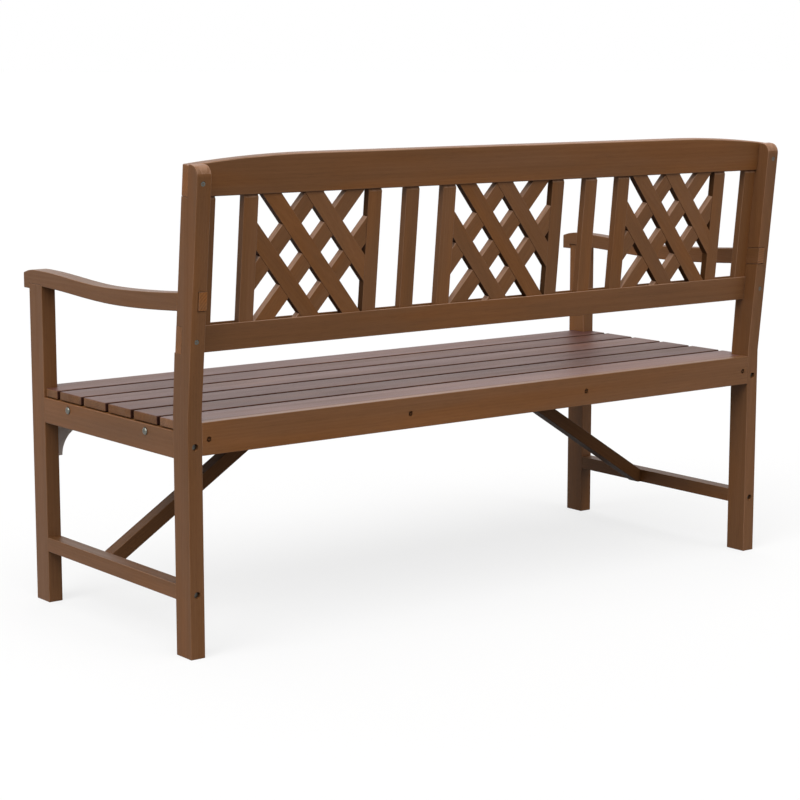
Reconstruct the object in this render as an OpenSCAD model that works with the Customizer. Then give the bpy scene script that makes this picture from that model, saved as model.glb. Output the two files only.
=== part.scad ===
// Wooden garden bench with arms, a slatted seat and a raked back of three
// lattice panels. Millimetres, +Z up. The front of the seat faces -Y, and the
// origin lies on the ground under the middle of the bench. Left is the
// sitter's left, which is +X.

/* [Overall] */
// Length over the outer faces of the legs
bench_l = 1460; // [1250:5:1900]
// Depth from the front legs' front face to the rear posts' back face
frame_d = 580; // [520:5:680]
// Height of the seat's top surface
seat_h = 433.5; // [400:0.5:440]

/* [Legs and posts] */
// Width of each leg and post, along the bench
leg_w = 30; // [26:1:40]
// Depth of each leg and post, front to back
leg_d = 50; // [44:1:60]
// Height of the front legs up to the arm
front_leg_h = 637; // [620:1:660]
// Height at which the rear posts begin to lean back
knee_h = 445; // [440:1:480]
// Lean of the back, in degrees
rake = 5.8; // [3:0.1:9]
// Length of the leaning part of the posts
post_run = 454.5; // [440:0.5:500]
// Radius of the posts' rounded top rear corner
post_r = 20; // [8:1:24]
// How far a post's front stands proud under the lower back rail
post_step = 3; // [1:0.5:6]

/* [Arms] */
// Width of the arms
arm_w = 33; // [30:1:44]
// Thickness of the arm over the front leg
arm_t = 28; // [24:1:34]
// How far the arm's nose reaches past the leg
arm_nose = 22; // [14:1:34]
// How far the nose hangs below the leg's top
nose_drop = 10; // [4:1:12]
// Radius of the nose's upper corner
nose_r = 4; // [3:1:10]
// How far the arm's top falls towards its nose
nose_fall = 8; // [2:0.5:12]
// Length of that fall
nose_l = 42; // [30:1:60]
// How deep the leg's top is let into the arm's underside
arm_housing = 2.5; // [1:0.5:5]
// How far the arm's top sinks towards its middle
arm_dip = 11; // [4:0.5:14]
// Height of the arm's tail above the lower back rail
arm_tail_gap = 28.5; // [16:0.5:40]
// Thickness of the arm at its tail
arm_tail_t = 34; // [26:1:38]
// How far the arm's underside sinks towards its middle
arm_belly = 10.5; // [4:0.5:12]
// How far the arm's tail is let into the post's inner side
arm_lap = 17; // [10:1:20]
// Height of the stub tenon on the front leg
arm_tenon_h = 15; // [8:1:18]

/* [Side frames] */
// Height of the side aprons
side_apron_h = 50; // [40:1:56]
// Gap between a side apron and the seat slats over it
side_apron_gap = 1.5; // [1:0.5:4]
// Thickness of the side aprons and side stretchers
side_rail_t = 30; // [24:1:30]
// Height of the side stretchers' underside above the ground
stretcher_z = 104.5; // [80:0.5:160]
// Height of the side stretchers
stretcher_h = 28.5; // [24:0.5:40]

/* [Seat] */
// Width of each seat slat, front to back
seat_slat_w = 82; // [70:1:86]
// Thickness of the seat slats
seat_slat_t = 17; // [14:0.5:22]
// Set-back of the seat's front edge from the legs' front face
seat_front = 14; // [8:1:14]
// Set-back of the slats' ends from the legs' outer face
seat_inset = 4; // [0:1:10]
// Clearance of the notches round the legs and posts
notch_gap = 1.5; // [0.5:0.5:3]
// Thickness of the front and rear aprons
apron_t = 20; // [18:1:24]
// Height of the front apron
front_apron_h = 50; // [40:1:60]
// Set-back of the front apron from the legs' front face
front_apron_y = 15; // [14:1:24]
// Height of the rear apron, whose top is level with the seat
rear_apron_h = 60.5; // [52:0.5:70]
// Width of the seat bearers
bearer_w = 30; // [24:1:36]
// Height of the seat bearers
bearer_h = 30; // [26:1:32]
// Length of the aprons' stub tenons
stub_l = 8; // [4:1:8]

/* [Braces and brackets] */
// Width of a brace, seen from the front
brace_w = 28; // [22:1:36]
// Thickness of a brace, front to back
brace_t = 30; // [20:1:36]
// Distance of the braces' front face behind the legs' front face
brace_y = 222; // [160:1:300]
// Length of the level cut on a brace under the seat
brace_level = 10; // [4:1:20]
// Reach of a corner bracket, sideways and down
bracket_l = 74; // [60:1:90]
// Width of a corner bracket at its ends
bracket_end = 16; // [10:1:24]

/* [Back] */
// Height of the lower back rail's underside along the lean, from the knee
low_rail_u = 114; // [90:1:120]
// Height of the lower back rail
low_rail_h = 50; // [40:1:60]
// Thickness of the lower back rail
low_rail_t = 20; // [17.5:0.5:24]
// Height of the top rail's underside along the lean, from the knee
top_rail_u = 395.5; // [370:0.5:410]
// Height of the top rail in its middle
top_rail_h = 72; // [60:0.5:80]
// Thickness of the top rail
top_rail_t = 21; // [19:0.5:26]
// Half length of the top rail's level middle
arch_flat = 460; // [350:5:600]
// Radius of the curves at both ends of the top rail
arch_r = 2400; // [2000:50:4000]
// Width of the vertical back slats and stiles
stile_w = 31; // [26:1:38]
// Thickness of the vertical back slats and stiles
stile_t = 15; // [12:0.5:15]
// Set-back of the slats and stiles from the rails' front face
stile_y = 2.5; // [2:0.5:3]
// Depth of the rails' grooves that hold the slats
groove_h = 8; // [5:1:12]
// Width of each lattice opening
panel_w = 245.8; // [220:1:270]
// How much wider the gaps beside the end slats are than the other gaps
end_gap_more = 2.4; // [0:0.2:6]

/* [Lattice] */
// Width of a lattice strip
strip_w = 32; // [22:1:38]
// Distance between the centre lines of neighbouring strips
strip_pitch = 71.3; // [60:0.1:80]
// Slope of the strips, in degrees
strip_slope = 50.4; // [45:0.1:56]
// Distance of the lattice's middle below the opening's middle
strip_low = -2; // [-6:0.5:6]
// How much deeper the rear faces of the crossed strips lie
strip_step = 0.8; // [0.4:0.1:2]
// Play on each side of a half lap
lap_gap = 0.2; // [0.1:0.1:0.5]

/* [Fasteners] */
// Radius of the side bolts' heads
side_head_r = 7; // [5.5:0.5:8]
// Radius of the flat on top of those heads
side_head_top = 4.5; // [3:0.5:5.5]
// Thickness of the side bolts' heads
side_head_t = 4; // [2:0.5:5]
// Length of the side bolts
side_bolt_l = 45; // [36:1:50]
// Places of the front side bolts behind the legs' front face
side_bolt_front = 145; // [110:1:190]
// Places of the rear side bolts behind the legs' front face
side_bolt_rear = 433; // [380:1:470]
// Radius of the leg bolts' counterbores
cbore_r = 6.5; // [5.5:0.1:7]
// Depth of the leg bolts' counterbores
cbore_d = 12; // [10:1:18]
// Radius of the leg bolts' heads
leg_head_r = 5.3; // [4.5:0.1:5.4]
// Height of the leg bolts' heads
leg_head_h = 5; // [4:0.5:6]
// Length of the leg bolts under the head
leg_bolt_l = 75; // [60:1:90]
// Radius of all the bolts' shanks
bolt_r = 3; // [2.5:0.1:3.5]
// Radius of the screws' countersunk heads
screw_head_r = 4.5; // [4:0.1:6]
// Radius of the screws' shanks
screw_r = 2.2; // [1.8:0.1:2.8]
// Length of the screws in the posts
back_screw_l = 44; // [40:1:46]
// Height of those screws above the rail's underside
back_screw_u = 28; // [20:1:36]
// Distance of those screws from the posts' outer face
back_screw_x = 13; // [9:1:16]
// Length of the screws in the aprons
apron_screw_l = 50; // [40:1:60]
// Radial clearance of the bolts and screws in their holes
hole_gap = 0.2; // [0.1:0.05:0.4]

/* [Hidden] */

$fn = 48;
eps = 0.5;
LEFT = 1;
RIGHT = -1;

// Stained timber and plated steel
wood = [0.43, 0.30, 0.21];
wood_dark = [0.37, 0.25, 0.17];
wood_pale = [0.50, 0.40, 0.34];
zinc = [0.76, 0.77, 0.78];

half = bench_l / 2;
leg_x = half - leg_w;
post_front = frame_d - leg_d;
post_p = leg_d * cos(rake);

// The seat, from the top down
slat_z = seat_h - seat_slat_t;
side_apron_z = slat_z - side_apron_gap - side_apron_h;
bearer_z = slat_z - bearer_h;
front_apron_z = slat_z - front_apron_h;
rear_apron_y = frame_d - apron_t;
seat_slats = 6;
seat_pitch = (rear_apron_y - seat_front - seat_slat_w) / (seat_slats - 1);

// Heights of the fasteners
side_bolt_z = bearer_z + bearer_h / 2;
apron_bolt_z = side_apron_z + side_apron_h / 2;
stretcher_bolt_z = stretcher_z + stretcher_h / 2;
bolt_x = half - leg_w / 2;

// The back, in a frame that leans with the posts
low_rail_top = low_rail_u + low_rail_h;
stile_bottom = low_rail_top - groove_h;
stile_top = top_rail_u + groove_h;
block_w = panel_w + 2 * stile_w;
slat_gap = (leg_x - 1.5 * block_w - 2 * stile_w - end_gap_more) / 3;
slat_x = block_w / 2 + slat_gap + stile_w / 2;
panel_x = slat_x + stile_w / 2 + slat_gap + block_w / 2;
stile_x = (panel_w + stile_w) / 2;
lattice_u = (low_rail_top + top_rail_u) / 2 - strip_low;
strip_l = 2 * (panel_w + top_rail_u - low_rail_top);

// The whole depth, from the arms' noses to the posts' rounded tops
rear_reach = post_front + (post_p - post_r) * cos(rake)
    + (post_run - post_r) * sin(rake) + post_r;
mid_y = (rear_reach - arm_nose) / 2;

// The middle bearers lie in line with the back's single slats
bearer_x = slat_x;

// The brace's upper edge runs from the stretcher's top to the seat
brace_x1 = leg_w > side_rail_t ? half - side_rail_t : leg_x;
brace_x0 = bearer_x + bearer_w / 2;
brace_run = brace_x1 - brace_x0 - brace_level;
brace_rise = slat_z - stretcher_z - stretcher_h;
brace_a = atan2(brace_rise, brace_run);
brace_v = brace_w / cos(brace_a);

// A half cosine step from 0 at y = a to 1 at y = b
function ease(a, b, y) =
    (1 - cos(180 * min(1, max(0, (y - a) / (b - a))))) / 2;

arm_top = front_leg_h + arm_t;
arm_under = front_leg_h - arm_housing;
arm_y0 = -arm_nose + nose_r;
arm_y1 = leg_d / 2;
arm_low = 0.55 * post_front;
arm_turn = 0.5 * post_front;
arm_far = 1.9 * post_front;
belly_low = 0.61 * post_front;
belly_turn = 0.6 * post_front;
belly_far = 1.425 * post_front;
arm_steps = 44;
arm_end = rear_reach + 10;
arm_tail_z = knee_h + low_rail_top * cos(rake) + arm_tail_gap;
arm_tail_y = post_front + leg_d
    + (arm_tail_z + arm_tail_t / 2 - knee_h) * tan(rake);
arm_rise = (arm_tail_z + arm_tail_t - arm_top + arm_dip)
    / ease(arm_turn, arm_far, arm_tail_y);
arm_lift = (arm_tail_z - arm_under + arm_belly)
    / ease(belly_turn, belly_far, arm_tail_y);

function arm_upper(y) = arm_top
    - nose_fall * pow(max(0, nose_l - arm_nose - y) / nose_l, 2)
    - arm_dip * ease(arm_y1, arm_low, y)
    + arm_rise * ease(arm_turn, arm_far, y);
function arm_lower(y) = arm_under - arm_belly * ease(arm_y1, belly_low, y)
    + arm_lift * ease(belly_turn, belly_far, y);
function arm_y(first, i) = first + (arm_end - first) * i / arm_steps;

// Moves a piece from the leg frame, whose Y is 0 at the legs' front face
module bench() {
    translate([0, -mid_y, 0])
        children();
}

// Puts a piece that is drawn on the left on the given side
module on_side(side) {
    mirror([side == LEFT ? 0 : 1, 0, 0])
        children();
}

// The leaning frame of the back: Y is 0 at the posts' front face
module leaning() {
    translate([0, post_front, knee_h])
        rotate([-rake, 0, 0])
            children();
}

// Extrudes a side view, drawn as Y and Z, from x0 to x1
module side_view(x0, x1) {
    translate([x0, 0, 0])
        rotate([90, 0, 90])
            linear_extrude(x1 - x0)
                children();
}

// Extrudes a front view, drawn as X and Z, from y0 to y1
module front_view(y0, y1) {
    translate([0, y1, 0])
        rotate([90, 0, 0])
            linear_extrude(y1 - y0)
                children();
}

// A box between two corners
module block(a, b) {
    translate(a)
        cube([b[0] - a[0], b[1] - a[1], b[2] - a[2]]);
}

// Bolt along +Y that starts with its head's outer face at the origin
module leg_bolt() {
    rotate([-90, 0, 0])
        cylinder(r = leg_head_r, h = leg_head_h);
    translate([0, leg_head_h - 0.1, 0])
        rotate([-90, 0, 0])
            cylinder(r = bolt_r, h = leg_bolt_l + 0.1);
}

// Hole of such a bolt, with its origin on the timber's face
module leg_bolt_hole() {
    translate([0, -eps, 0])
        rotate([-90, 0, 0])
            cylinder(r = cbore_r, h = cbore_d + eps);
    rotate([-90, 0, 0])
        cylinder(r = bolt_r + hole_gap, h = cbore_d + leg_bolt_l + 2);
}

// Countersunk screw along +Y with its flat head at the origin
module screw(l) {
    rotate([-90, 0, 0])
        cylinder(r1 = screw_head_r, r2 = screw_r, h = screw_head_r - screw_r);
    rotate([-90, 0, 0])
        cylinder(r = screw_r, h = l);
}

// Hole of such a screw
module screw_hole(l) {
    rotate([-90, 0, 0])
        cylinder(r1 = screw_head_r, r2 = screw_r, h = screw_head_r - screw_r);
    translate([0, -eps, 0])
        rotate([-90, 0, 0])
            cylinder(r = screw_head_r, h = eps + 0.01);
    rotate([-90, 0, 0])
        cylinder(r = screw_r + hole_gap, h = l + 1);
}

// The two bolts of a front leg, or their holes
module at_front_bolts() {
    for (z = [apron_bolt_z, stretcher_bolt_z])
        translate([bolt_x, 0, z])
            children();
}

// The two bolts of a rear post, which enter from behind
module at_rear_bolts() {
    for (z = [apron_bolt_z, stretcher_bolt_z])
        translate([bolt_x, frame_d, z])
            rotate([0, 0, 180])
                children();
}

// The two screws of a post, in the leaning frame, which enter from behind
module at_back_screws() {
    for (u = [low_rail_u, top_rail_u])
        translate([half - back_screw_x, post_p, u + back_screw_u])
            rotate([0, 0, 180])
                children();
}

// The screws of one side through the front apron
module at_front_screws() {
    for (x = [leg_x - bearer_w / 2, bearer_x])
        translate([x, front_apron_y, side_bolt_z])
            children();
}

// The screws of one side through the rear apron
module at_rear_screws() {
    for (x = [leg_x - bearer_w / 2, bearer_x])
        translate([x, frame_d, side_bolt_z])
            rotate([0, 0, 180])
                children();
}

// The bolts of one side through the side apron, along -X from the outer face
module at_side_bolts() {
    for (y = [side_bolt_front, side_bolt_rear])
        translate([half, y, side_bolt_z])
            rotate([0, -90, 0])
                children();
}

// Front leg with a stub tenon into the arm
module front_leg(side) {
    bench() on_side(side) color(wood)
        difference() {
            union() {
                block([leg_x, 0, 0], [half, leg_d, front_leg_h]);
                arm_tenon(0);
            }
            at_front_bolts()
                leg_bolt_hole();
            apron_stub(front_apron_y, front_apron_z, front_apron_h, 0);
        }
}

// Stub tenon between the front leg and the arm
module arm_tenon(gap) {
    translate([half - arm_w / 2, leg_d / 2, front_leg_h - eps])
        block([-7 - gap, -15 - gap, 0], [7 + gap, 15 + gap, arm_tenon_h + eps + gap]);
}

// Stub tenon of an apron in a leg or post
module apron_stub(y, z, h, gap) {
    block([leg_x - 0.02, y + 5 - gap, z + 6 - gap],
        [leg_x + stub_l + gap, y + apron_t - 5 + gap, z + h - 16 + gap]);
}

// Side view of the leaning part of a post, square at the rails, round behind
module post_lean() {
    translate([post_front, knee_h])
        rotate(-rake) {
            polygon([
                [0, 0], [post_p, 0], [post_p, post_run - post_r],
                [0, post_run - post_r], [0, low_rail_u],
                [-post_step, low_rail_u]
            ]);
            square([post_p - post_r, post_run]);
            translate([post_p - post_r, post_run - post_r])
                circle(r = post_r);
        }
}

// Rear post, notched for both rails and for the arm's tail
module rear_post(side) {
    bench() on_side(side) color(wood)
        difference() {
            side_view(leg_x, half)
                union() {
                    translate([post_front, 0])
                        square([leg_d, knee_h]);
                    post_lean();
                }
            leaning() {
                block([leg_x - eps, -eps, low_rail_u],
                    [half + eps, low_rail_t, low_rail_top]);
                block([leg_x - eps, -eps, top_rail_u],
                    [half + eps, top_rail_t, post_run + 10]);
                at_back_screws()
                    screw_hole(back_screw_l);
            }
            side_view(leg_x - eps, leg_x + arm_lap)
                arm_outline();
            at_rear_bolts()
                leg_bolt_hole();
            apron_stub(rear_apron_y, slat_z + seat_slat_t - rear_apron_h, rear_apron_h, 0);
        }
}

// Side view of the arm, with its housing over the front leg
module arm_outline() {
    polygon(concat(
        [[0, front_leg_h - nose_drop], [-arm_nose, front_leg_h - nose_drop]],
        [for (a = [0 : 15 : 90])
            [-arm_nose + nose_r * (1 - cos(a)),
                arm_upper(arm_y0) - nose_r * (1 - sin(a))]],
        [for (i = [1 : arm_steps])
            let (y = arm_y(arm_y0, i)) [y, arm_upper(y)]],
        [for (i = [arm_steps : -1 : 0])
            let (y = arm_y(leg_d + 10, i)) [y, arm_lower(y)]],
        [[leg_d, arm_under], [leg_d, front_leg_h], [0, front_leg_h]]
    ));
}

// Half plane in front of the posts' front face moved back by d
module before_post(d) {
    polygon([
        [-arm_nose - 50, 0],
        [post_front + d, 0],
        [post_front + d, knee_h],
        [post_front + d + post_run * tan(rake), knee_h + post_run],
        [-arm_nose - 50, knee_h + post_run]
    ]);
}

// Arm, whose tail passes through the notch in the post's inner side
module armrest(side) {
    bench() on_side(side) color(wood)
        difference() {
            union() {
                side_view(half - arm_w, half)
                    intersection() {
                        arm_outline();
                        before_post(0);
                    }
                side_view(max(leg_x, half - arm_w), leg_x + arm_lap)
                    intersection() {
                        arm_outline();
                        before_post(leg_d);
                    }
            }
            arm_tenon(0);
        }
}

// Side apron, bolted between the front leg and the rear post
module side_apron(side) {
    bench() on_side(side) color(wood)
        difference() {
            block([half - side_rail_t, leg_d, side_apron_z],
                [half, post_front, side_apron_z + side_apron_h]);
            at_front_bolts()
                leg_bolt_hole();
            at_rear_bolts()
                leg_bolt_hole();
            at_side_bolts()
                translate([0, 0, -eps])
                    cylinder(r = bolt_r + hole_gap, h = side_bolt_l + 1 + eps);
        }
}

// Side stretcher near the ground
module side_stretcher(side) {
    bench() on_side(side) color(wood)
        difference() {
            block([half - side_rail_t, leg_d, stretcher_z],
                [half, post_front, stretcher_z + stretcher_h]);
            at_front_bolts()
                leg_bolt_hole();
            at_rear_bolts()
                leg_bolt_hole();
        }
}

// Brace from the stretcher's inner face up to the middle bearer
module brace(side) {
    bench() on_side(side) color(wood_dark)
        front_view(brace_y, brace_y + brace_t)
            intersection() {
                polygon([
                    [brace_x1, stretcher_z + stretcher_h],
                    [brace_x1, stretcher_z + stretcher_h - brace_v],
                    [brace_x0, slat_z + brace_level * tan(brace_a) - brace_v],
                    [brace_x0, slat_z + brace_level * tan(brace_a)]
                ]);
                translate([brace_x0, stretcher_z])
                    square([brace_x1 - brace_x0, slat_z - stretcher_z]);
            }
}

// Bracket with a hollow curve between the front leg and the front apron
module corner_bracket(side) {
    bench() on_side(side) color(wood_pale)
        front_view(front_apron_y, front_apron_y + apron_t)
            difference() {
                translate([leg_x - bracket_l, front_apron_z - bracket_l])
                    square(bracket_l);
                translate([leg_x - bracket_l, front_apron_z - bracket_l])
                    circle(r = bracket_l - bracket_end, $fn = 96);
            }
}

// Front apron under the first slat
module front_apron() {
    bench() color(wood)
        difference() {
            union() {
                block([-leg_x, front_apron_y, front_apron_z],
                    [leg_x, front_apron_y + apron_t, slat_z]);
                for (side = [LEFT, RIGHT])
                    on_side(side)
                        apron_stub(front_apron_y, front_apron_z, front_apron_h, 0);
            }
            for (side = [LEFT, RIGHT])
                on_side(side)
                    at_front_screws()
                        screw_hole(apron_screw_l);
        }
}

// Rear apron, level with the seat and with the posts' backs
module rear_apron() {
    bench() color(wood)
        difference() {
            union() {
                block([-leg_x, rear_apron_y, seat_h - rear_apron_h],
                    [leg_x, frame_d, seat_h]);
                for (side = [LEFT, RIGHT])
                    on_side(side)
                        apron_stub(rear_apron_y, seat_h - rear_apron_h, rear_apron_h, 0);
            }
            for (side = [LEFT, RIGHT])
                on_side(side)
                    at_rear_screws()
                        screw_hole(apron_screw_l);
        }
}

// Bearer under the seat between the two aprons, with its outer face at x
module bearer(side, x) {
    bench() on_side(side) color(wood_dark)
        difference() {
            block([x - bearer_w, front_apron_y + apron_t, bearer_z],
                [x, rear_apron_y, slat_z]);
            at_front_screws()
                screw_hole(apron_screw_l);
            at_rear_screws()
                screw_hole(apron_screw_l);
            at_side_bolts()
                cylinder(r = bolt_r + hole_gap, h = side_bolt_l + 1);
        }
}

// Seat slat number i, counted from the front, cut round the legs and posts
module seat_slat(i) {
    y0 = seat_front + (i - 1) * seat_pitch;
    y1 = y0 + seat_slat_w;
    bench() color(wood)
        difference() {
            block([-half + seat_inset, y0, slat_z], [half - seat_inset, y1, seat_h]);
            for (side = [LEFT, RIGHT])
                on_side(side) {
                    block([leg_x - notch_gap, -eps, slat_z - eps],
                        [half + eps, leg_d + notch_gap, seat_h + eps]);
                    block([leg_x - notch_gap, post_front - notch_gap, slat_z - eps],
                        [half + eps, frame_d + eps, seat_h + eps]);
                }
        }
}

// Groove for the back's slats, from height u0 to u1
module groove(u0, u1) {
    block([-leg_x, stile_y, u0], [leg_x, stile_y + stile_t, u1]);
}

// Top rail: level in the middle, curving down to the posts
module top_rail() {
    u1 = top_rail_u + top_rail_h;
    bench() color(wood)
        leaning()
            difference() {
                front_view(0, top_rail_t)
                    intersection() {
                        translate([-half, top_rail_u])
                            square([bench_l, top_rail_h]);
                        union() {
                            translate([-arch_flat, top_rail_u])
                                square([2 * arch_flat, top_rail_h]);
                            for (side = [-1, 1])
                                translate([side * arch_flat, u1 - arch_r])
                                    circle(r = arch_r, $fn = 720);
                        }
                    }
                groove(top_rail_u - eps, stile_top);
                for (side = [LEFT, RIGHT])
                    on_side(side)
                        at_back_screws()
                            screw_hole(back_screw_l);
            }
}

// Lower back rail, grooved for the slats
module lower_back_rail() {
    bench() color(wood)
        leaning()
            difference() {
                block([-half, 0, low_rail_u], [half, low_rail_t, low_rail_top]);
                groove(stile_bottom, low_rail_top + eps);
                for (side = [LEFT, RIGHT])
                    on_side(side)
                        at_back_screws()
                            screw_hole(back_screw_l);
            }
}

// Vertical slat or stile of the back with its middle at x
module back_bar(x) {
    bench() color(wood)
        leaning()
            block([x - stile_w / 2, stile_y, stile_bottom],
                [x + stile_w / 2, stile_y + stile_t, stile_top]);
}

// Strip number i from below of the panel at x, w wide, before it is sawn off
module strip_line(x, rear, i, w) {
    translate([x, lattice_u])
        rotate(rear ? strip_slope : 180 - strip_slope)
            translate([0, (rear ? 1 : -1) * (i - 2) * strip_pitch])
                square([strip_l, w], center = true);
}

// Lattice strip, half lapped with those that cross it. The rear ones pass
// over the front ones, whose rear faces lie a little deeper.
module strip(x, rear, i) {
    lap_y = stile_y + stile_t / 2;
    y1 = stile_y + stile_t - (rear ? 0 : strip_step);
    bench() color(rear ? wood : wood_dark)
        leaning()
            difference() {
                front_view(stile_y, y1)
                    intersection() {
                        strip_line(x, rear, i, strip_w);
                        translate([x - panel_w / 2, stile_bottom])
                            square([panel_w, stile_top - stile_bottom]);
                    }
                for (j = [1:3])
                    front_view(rear ? stile_y - eps : lap_y,
                        rear ? lap_y : y1 + eps)
                        strip_line(x, !rear, j, strip_w + 2 * lap_gap);
            }
}

module front_leg_left() front_leg(LEFT);
module front_leg_right() front_leg(RIGHT);
module rear_post_left() rear_post(LEFT);
module rear_post_right() rear_post(RIGHT);
module armrest_left() armrest(LEFT);
module armrest_right() armrest(RIGHT);
module side_apron_left() side_apron(LEFT);
module side_apron_right() side_apron(RIGHT);
module side_stretcher_left() side_stretcher(LEFT);
module side_stretcher_right() side_stretcher(RIGHT);
module brace_left() brace(LEFT);
module brace_right() brace(RIGHT);
module corner_bracket_left() corner_bracket(LEFT);
module corner_bracket_right() corner_bracket(RIGHT);
module end_bearer_left() bearer(LEFT, leg_x);
module end_bearer_right() bearer(RIGHT, leg_x);
module middle_bearer_left() bearer(LEFT, bearer_x + bearer_w / 2);
module middle_bearer_right() bearer(RIGHT, bearer_x + bearer_w / 2);
module seat_slat_1() seat_slat(1);
module seat_slat_2() seat_slat(2);
module seat_slat_3() seat_slat(3);
module seat_slat_4() seat_slat(4);
module seat_slat_5() seat_slat(5);
module seat_slat_6() seat_slat(6);
module back_end_slat_left() back_bar(leg_x - stile_w / 2);
module back_end_slat_right() back_bar(-leg_x + stile_w / 2);
module back_stile_1() back_bar(panel_x + stile_x);
module back_stile_2() back_bar(panel_x - stile_x);
module back_stile_3() back_bar(stile_x);
module back_stile_4() back_bar(-stile_x);
module back_stile_5() back_bar(-panel_x + stile_x);
module back_stile_6() back_bar(-panel_x - stile_x);
module back_slat_left() back_bar(slat_x);
module back_slat_right() back_bar(-slat_x);
module lattice_left_rear_1() strip(panel_x, true, 1);
module lattice_left_rear_2() strip(panel_x, true, 2);
module lattice_left_rear_3() strip(panel_x, true, 3);
module lattice_left_front_1() strip(panel_x, false, 1);
module lattice_left_front_2() strip(panel_x, false, 2);
module lattice_left_front_3() strip(panel_x, false, 3);
module lattice_middle_rear_1() strip(0, true, 1);
module lattice_middle_rear_2() strip(0, true, 2);
module lattice_middle_rear_3() strip(0, true, 3);
module lattice_middle_front_1() strip(0, false, 1);
module lattice_middle_front_2() strip(0, false, 2);
module lattice_middle_front_3() strip(0, false, 3);
module lattice_right_rear_1() strip(-panel_x, true, 1);
module lattice_right_rear_2() strip(-panel_x, true, 2);
module lattice_right_rear_3() strip(-panel_x, true, 3);
module lattice_right_front_1() strip(-panel_x, false, 1);
module lattice_right_front_2() strip(-panel_x, false, 2);
module lattice_right_front_3() strip(-panel_x, false, 3);

// Bolts that hold the end bearers to the side aprons
module side_bolts() {
    bench() color(zinc)
        for (side = [LEFT, RIGHT])
            on_side(side)
                at_side_bolts() {
                    translate([0, 0, -side_head_t])
                        cylinder(r1 = side_head_top, r2 = side_head_r,
                            h = side_head_t);
                    cylinder(r = bolt_r, h = side_bolt_l);
                }
}

// Bolts that hold the side aprons and stretchers between legs and posts
module leg_bolts() {
    bench() color(zinc)
        for (side = [LEFT, RIGHT])
            on_side(side) {
                at_front_bolts()
                    translate([0, cbore_d - leg_head_h, 0])
                        leg_bolt();
                at_rear_bolts()
                    translate([0, cbore_d - leg_head_h, 0])
                        leg_bolt();
            }
}

// Screws that hold the two back rails in the posts' notches
module back_screws() {
    bench() color(zinc)
        leaning()
            for (side = [LEFT, RIGHT])
                on_side(side)
                    at_back_screws()
                        screw(back_screw_l);
}

// Screws through the front and rear aprons into the bearers
module apron_screws() {
    bench() color(zinc)
        for (side = [LEFT, RIGHT])
            on_side(side) {
                at_front_screws()
                    screw(apron_screw_l);
                at_rear_screws()
                    screw(apron_screw_l);
            }
}

front_leg_left();
front_leg_right();
rear_post_left();
rear_post_right();
armrest_left();
armrest_right();
side_apron_left();
side_apron_right();
side_stretcher_left();
side_stretcher_right();
brace_left();
brace_right();
corner_bracket_left();
corner_bracket_right();
front_apron();
rear_apron();
end_bearer_left();
end_bearer_right();
middle_bearer_left();
middle_bearer_right();
seat_slat_1();
seat_slat_2();
seat_slat_3();
seat_slat_4();
seat_slat_5();
seat_slat_6();
top_rail();
lower_back_rail();
back_end_slat_left();
back_end_slat_right();
back_stile_1();
back_stile_2();
back_stile_3();
back_stile_4();
back_stile_5();
back_stile_6();
back_slat_left();
back_slat_right();
lattice_left_rear_1();
lattice_left_rear_2();
lattice_left_rear_3();
lattice_left_front_1();
lattice_left_front_2();
lattice_left_front_3();
lattice_middle_rear_1();
lattice_middle_rear_2();
lattice_middle_rear_3();
lattice_middle_front_1();
lattice_middle_front_2();
lattice_middle_front_3();
lattice_right_rear_1();
lattice_right_rear_2();
lattice_right_rear_3();
lattice_right_front_1();
lattice_right_front_2();
lattice_right_front_3();
side_bolts();
leg_bolts();
back_screws();
apron_screws();
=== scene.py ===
# %% [markdown]
# # A stained wooden garden bench
#
# The real object is a three-seat garden bench of brown stained timber, seen
# from behind and a little above. Every piece of it is a board or a bar that
# was sawn, planed and eased along its edges, and then stained. This file
# builds the same bench the way a joiner would: it cuts each board to size,
# shapes it, rounds its edges and gives it a grain that runs along its length.
#
# The sizes come from a solid model of the bench, which is loaded first. It
# says where every board lies, and each board made here takes the place of the
# solid with the same name.

import math

import bmesh
import bpy
from mathutils import Matrix, Vector


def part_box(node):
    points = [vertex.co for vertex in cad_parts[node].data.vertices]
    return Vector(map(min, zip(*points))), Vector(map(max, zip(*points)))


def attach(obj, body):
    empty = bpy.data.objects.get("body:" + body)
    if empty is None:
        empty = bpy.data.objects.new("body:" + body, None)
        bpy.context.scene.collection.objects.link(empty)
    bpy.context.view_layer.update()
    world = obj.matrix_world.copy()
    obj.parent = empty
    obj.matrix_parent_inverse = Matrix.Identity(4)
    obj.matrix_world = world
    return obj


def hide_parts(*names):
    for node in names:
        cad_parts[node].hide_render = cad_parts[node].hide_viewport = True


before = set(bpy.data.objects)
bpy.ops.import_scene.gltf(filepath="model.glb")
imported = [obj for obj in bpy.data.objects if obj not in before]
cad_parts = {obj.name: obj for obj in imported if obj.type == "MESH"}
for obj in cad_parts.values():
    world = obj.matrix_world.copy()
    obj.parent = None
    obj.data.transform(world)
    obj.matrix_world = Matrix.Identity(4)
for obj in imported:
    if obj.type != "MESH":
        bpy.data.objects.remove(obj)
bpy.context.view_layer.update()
print("solids:", len(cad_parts))

# %% [markdown]
# ## Where things are
#
# Sizes on a drawing of a bench are in millimetres, and Blender works in
# metres, so lengths are written in millimetres here and multiplied by `MM`.
# The places could all be typed in again, but it is safer to read them from
# the solids: then the boards and the solids can't drift apart. Left is the
# sitter's left, on the side of +X, and the front of the seat faces -Y.

# %% Read the places of the main pieces
MM = 0.001


def vectors(box):
    """The two corners of a box as vectors."""
    return [Vector(corner) for corner in box]


LEG_LOW, LEG_HIGH = vectors(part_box("front_leg_left"))
POST_LOW = Vector(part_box("rear_post_left")[0])
APRON_HIGH = Vector(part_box("rear_apron")[1])

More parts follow.
